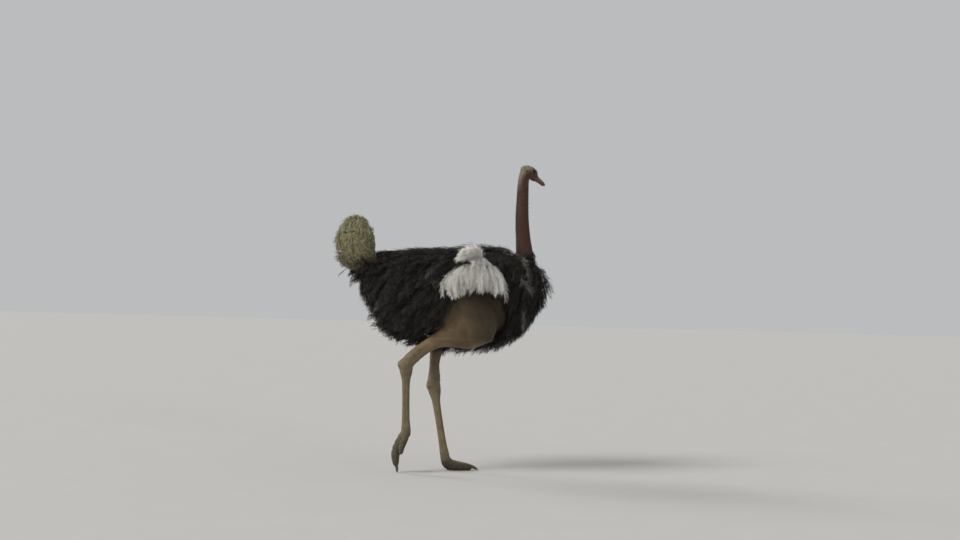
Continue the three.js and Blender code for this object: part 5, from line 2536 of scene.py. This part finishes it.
@dataclass(frozen=True)
class SkinFinish:
    """Bare skin, scales and the dark skin under the plumage.

    Args:
        neck: the neck's colour.
        face: the face's.
        downy: the pale of the nape and crown, partly the down's own cast and partly painted rim light and top
            light.
        leg: the bare leg's.
        olive: painted shade towards the front and top of the thigh, under the breast and the white plumes.
        leg_dark: of its darker clouds, and of the painted shade in the creases of the skin and scales.
        scales: the scaly shanks'.
        toes: the toes'.
        covered: under the plumage.
        pale: of the pale strokes.
    """

    neck: Colour = rgb(0.05, 0.018, 0.01)
    face: Colour = rgb(0.102, 0.046, 0.032)
    downy: Colour = rgb(0.23, 0.215, 0.15)
    leg: Colour = rgb(0.285, 0.19, 0.102)
    olive: Colour = rgb(0.05, 0.038, 0.018)
    leg_dark: Colour = rgb(0.05, 0.034, 0.021)
    scales: Colour = rgb(0.232, 0.182, 0.108)
    toes: Colour = rgb(0.078, 0.07, 0.041)
    covered: Colour = rgb(0.012, 0.01, 0.009)
    pale: Colour = rgb(0.26, 0.235, 0.2)

    def build(self, effects: Effects) -> Material:
        """Makes the material.

        Args:
            effects: the shared effects.

        Returns:
            The material.
        """
        t = Paint("bird_skin")
        at = t.here()
        values = {"Vector": at, "Grain": 420.0, "Wrinkle": 1.1}
        pebbles = t.add("ShaderNodeGroup", values, node_tree=effects.pebbles)
        crease = pebbles.outputs["Crease"]

        def cloudy(scale: float, base: object, amount: float) -> NodeSocket:
            """A colour with darker clouds."""
            return t.mottled(effects, at, scale, base, self.leg_dark, amount).outputs["Colour"]

        # painted shade: the bare thigh darkens towards its front and top, under the breast and the white
        # plumes
        leg = cloudy(16.0, t.mix(t.attribute("front"), self.leg, self.olive), 0.55)
        # painted shade: the bare leg darkens in the creases between its grains
        leg = t.mix(t.ramp(crease, (0.0, 0.55), (1.0, 0.0)), leg, self.leg_dark)
        scales = cloudy(30.0, t.mix(t.attribute("toe"), self.scales, self.toes), 0.45)
        # painted shade: the scales darken in the creases between them
        scales = t.mix(t.ramp(crease, (0.0, 0.5), (1.0, 0.0)), scales, self.leg_dark)
        # the nape and crown turn pale: partly the down's own cast, partly painted rim light and top light
        neck = t.mix(t.times(t.attribute("rear"), 0.45), cloudy(24.0, self.neck, 0.5), self.downy)
        neck = t.mix(t.attribute("face"), neck, cloudy(60.0, self.face, 0.4))
        colour = t.mix(t.attribute("bare_leg"), self.covered, leg)
        colour = t.mix(t.attribute("scaly"), colour, scales)
        colour = t.mix(t.attribute("neck"), colour, neck)
        colour = t.mix(t.times(t.attribute("pale"), 0.6), colour, self.pale)
        share = t.math("SUBTRACT", 1.0, t.times(t.attribute("neck"), 0.62))
        folds = t.noise(at, 34.0, 6.0, 0.8).outputs["Fac"]
        height = t.math("ADD", t.times(pebbles.outputs["Height"], share), t.times(folds, 5.0))
        quill = t.add("ShaderNodeTexVoronoi", {"Vector": at, "Scale": 115.0, "Randomness": 0.8})
        dots = t.times(t.ramp(quill.outputs["Distance"], (0.0, 1.0), (0.28, 0.0)), t.attribute("bare_leg"))
        raised = t.times(dots, t.math("SUBTRACT", 3.0, t.times(t.attribute("scaly"), 2.4)))
        return t.done({"Base Color": colour, "Roughness": t.ramp(crease, (0.0, 0.75), (1.0, 0.52)),
                       "Normal": t.relief(t.math("ADD", height, raised), 0.55, 0.0014),
                       "Subsurface Weight": 0.05, "Subsurface Radius": (0.004, 0.0015, 0.0008),
                       "Specular IOR Level": 0.28})


@dataclass(frozen=True)
class ScuteFinish:
    """Horny plates, paler on their faces and darker where they meet.

    Args:
        face: a plate's colour.
        toe: a plate's on the toes.
        stain: its clouds'.
        seam: its edge's.
    """

    face: Colour = rgb(0.225, 0.178, 0.118)
    toe: Colour = rgb(0.09, 0.081, 0.048)
    stain: Colour = rgb(0.105, 0.08, 0.05)
    seam: Colour = rgb(0.06, 0.042, 0.028)

    def build(self, effects: Effects) -> Material:
        """Makes the material.

        Args:
            effects: the shared effects.

        Returns:
            The material.
        """
        t = Paint("scute_horn")
        at = t.here()
        face = t.mix(t.attribute("toe"), self.face, self.toe)
        mottle = t.mottled(effects, at, 38.0, face, self.stain, 0.7).outputs
        worn = t.ramp(t.attribute("wear"), (0.72, 0.0), (1.0, 0.7))
        return t.done({"Base Color": t.mix(worn, mottle["Colour"], self.seam),
                       "Roughness": t.ramp(mottle["Mask"], (0.0, 0.42), (1.0, 0.62)),
                       "Normal": t.relief(t.noise(at, 320.0, 4.0).outputs["Fac"], 0.35, 0.0008)})


@dataclass(frozen=True)
class HornFinish:
    """Horn of the bill and claws: streaked along, darker at the tip and worn at the edge.

    Args:
        base: the horn's colour.
        streak: its clouds'.
        tip: its tip's.
        worn: its worn edge's.
    """

    base: Colour = rgb(0.165, 0.105, 0.072)
    streak: Colour = rgb(0.08, 0.05, 0.034)
    tip: Colour = rgb(0.07, 0.055, 0.044)
    worn: Colour = rgb(0.27, 0.215, 0.16)

    def build(self, effects: Effects) -> Material:
        """Makes the material.

        Args:
            effects: the shared effects.

        Returns:
            The material.
        """
        t = Paint("bill_horn")
        at = t.here()
        mottle = t.mottled(effects, at, 55.0, self.base, self.streak, 0.7).outputs["Colour"]
        colour = t.mix(t.ramp(t.attribute("along"), (0.6, 0.0), (1.0, 0.8)), mottle, self.tip)
        colour = t.mix(t.ramp(t.attribute("edge"), (0.5, 0.0), (1.0, 0.4)), colour, self.worn)
        fine = t.noise(at, 240.0, 5.0, 0.6).outputs["Fac"]
        return t.done({"Base Color": colour, "Roughness": t.ramp(fine, (0.3, 0.34), (0.7, 0.52)),
                       "Normal": t.relief(fine, 0.4, 0.0007)})


@dataclass(frozen=True)
class EyeFinish:
    """A wet brown eye: a wide dark pupil, a rayed iris and a darker rim.

    Args:
        pupil: the pupil's colour.
        iris: the iris's.
        ray: its rays'.
        rim: the rim's.
    """

    pupil: Colour = rgb(0.002, 0.002, 0.002)
    iris: Colour = rgb(0.085, 0.036, 0.014)
    ray: Colour = rgb(0.03, 0.012, 0.006)
    rim: Colour = rgb(0.01, 0.007, 0.006)

    def build(self) -> Material:
        """Makes the material.

        Returns:
            The material.
        """
        t = Paint("eye_wet")
        off = t.attribute("off")
        ray = t.add("ShaderNodeCombineXYZ", {"X": t.attribute("ray_x"), "Y": t.attribute("ray_y"), "Z": off})
        rays = t.ramp(t.noise(ray.outputs[0], 22.0, 5.0).outputs["Fac"], (0.35, 0.0), (0.65, 1.0))
        inner = t.ramp(off, (0.108, 0.0), (0.116, 1.0))
        outer = t.ramp(off, (0.185, 0.0), (0.215, 1.0))
        colour = t.mix(inner, self.pupil, t.mix(rays, self.iris, self.ray))
        return t.done({"Base Color": t.mix(outer, colour, self.rim), "Roughness": 0.12,
                       "Specular IOR Level": 0.12, "Coat Weight": 0.25, "Coat Roughness": 0.02})


BLACK = PlumeFinish("plumage_black", rgb(0.0065, 0.0057, 0.005), rgb(0.041, 0.036, 0.028),
                    rgb(0.4, 0.37, 0.33), rgb(0.036, 0.031, 0.025), 0.35, 0.7, 0.06)
WHITE = PlumeFinish("plumage_white", rgb(0.52, 0.51, 0.45), rgb(0.86, 0.84, 0.81), rgb(0.8, 0.78, 0.75),
                    rgb(0.72, 0.7, 0.65), 0.4, 0.66, 0.2)
TAIL = PlumeFinish("plumage_tail", rgb(0.085, 0.078, 0.042), rgb(0.27, 0.25, 0.14), rgb(0.32, 0.295, 0.17),
                   rgb(0.33, 0.305, 0.18), 0.55, 0.66, 0.2)
# the down's marked colour is the pale of the nape and crown, partly its own cast and partly painted rim light
# and top light
DOWN = PlumeFinish("neck_down", rgb(0.036, 0.017, 0.011), rgb(0.056, 0.033, 0.022), rgb(0.42, 0.41, 0.3),
                   rgb(0.012, 0.01, 0.008), 1.0, 0.7, 0.1)


# ---- the room ----


@dataclass(frozen=True)
class Studio:
    """A plain pale floor, soft lights and the camera.

    Args:
        turn: the camera's angle round the bird, from straight at its right side.
        away: the camera's distance from the bird.
        height: the camera's height.
        ahead: how far to the right of the hips it looks.
        roll: its roll.
        lens: its focal length in millimetres.
    """

    turn: float = math.radians(24)
    away: float = 12.0
    height: float = 1.347
    ahead: float = 0.28
    roll: float = math.radians(2.3)
    lens: float = 67.5

    def build(self, plan: Plan) -> None:
        """Makes the floor, lights and camera.

        Args:
            plan: the bird's sizes and joints.
        """
        view = Vector((math.sin(self.turn), math.cos(self.turn), 0))
        right = Vector((math.cos(self.turn), -math.sin(self.turn), 0))
        hips = Vector((plan.shift, 0, 0))
        data = bpy.data.cameras.new("camera")
        data.lens = self.lens
        data.sensor_width = 36.0
        camera = into_scene("camera", data)
        camera.location = hips + right * self.ahead - view * self.away + Vector((0, 0, self.height))
        facing = Matrix.Rotation(-self.turn, 4, "Z") @ Matrix.Rotation(math.pi / 2, 4, "X")
        camera.rotation_euler = (facing @ Matrix.Rotation(self.roll, 4, "Z")).to_euler()
        bpy.context.scene.camera = camera
        deselect()
        bpy.ops.mesh.primitive_plane_add(size=60)
        floor = bpy.context.object
        floor.name = "floor"
        t = Paint("floor_pale")
        cloud = t.noise(t.here(), 3.0, 4.0).outputs["Fac"]
        tint = t.mix(cloud, rgb(0.385, 0.382, 0.373), rgb(0.41, 0.407, 0.398))
        floor.data.materials.append(t.done({"Base Color": tint, "Roughness": 0.9}))
        floor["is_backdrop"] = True
        above = Vector((0, 0, 1))
        self.light("key", -right * 1.0 - view * 0.75 + above * 1.05, 22.0, 2.6, (1.0, 0.965, 0.91))
        self.light("rear", -right * 1.0 + view * 0.55 + above * 0.75, 24.0, 1.2, (1.0, 0.98, 0.94))
        self.light("fill", right * 0.7 - view * 1.0 + above * 0.35, 12.0, 0.3, (0.94, 0.97, 1.0))
        world = bpy.data.worlds.new("room")
        bpy.context.scene.world = world
        world.use_nodes = True
        background = world.node_tree.nodes["Background"].inputs
        background["Color"].default_value = rgb(0.86, 0.87, 0.88)
        background["Strength"].default_value = 0.58
        bpy.context.scene.view_settings.view_transform = "Standard"

    def light(self, name: str, toward: Vector, spread: float, power: float, tint: tuple[float, ...]) -> None:
        """A far soft light that shines from a direction.

        Args:
            name: of the light.
            toward: the direction that it shines from.
            spread: the angle that it fills, in degrees.
            power: its strength.
            tint: its colour.
        """
        data = bpy.data.lights.new(name, "SUN")
        data.angle = math.radians(spread)
        data.energy = power
        data.color = tint
        lamp = into_scene(name, data)
        lamp.rotation_euler = toward.to_track_quat("Z", "Y").to_euler()


def main() -> tuple[Vector, Vector]:
    """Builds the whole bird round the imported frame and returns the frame's own box.

    Returns:
        The low and high corners of the box.
    """
    logging.basicConfig(level=logging.INFO, format="%(message)s")
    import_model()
    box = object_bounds()
    plan = Plan.from_frame()
    flesh = Flesh(plan)
    eyes = Eyes(plan)
    effects = Effects()
    Studio().build(plan)
    skin = Skin(flesh, eyes).build(SkinFinish().build(effects))
    wet = EyeFinish().build()
    for side in Side:
        finish_piece(eyes.ball(side), "eye", wet, f"eye_{side.word}")
    horn = HornFinish().build(effects)
    Bill(plan).build(horn)
    Claws(flesh).build(horn)
    Scutes(flesh).build(ScuteFinish().build(effects))
    coat = Coat(flesh, skin, BLACK.build(effects))
    coat.neck_down(DOWN.build(effects))
    coat.body()
    coat.wisps()
    coat.wings()
    coat.fill_gaps()
    coat.white_plumes(WHITE.build(effects))
    coat.tail(TAIL.build(effects))
    return box


if __name__ == "__main__":
    cad_box = main()
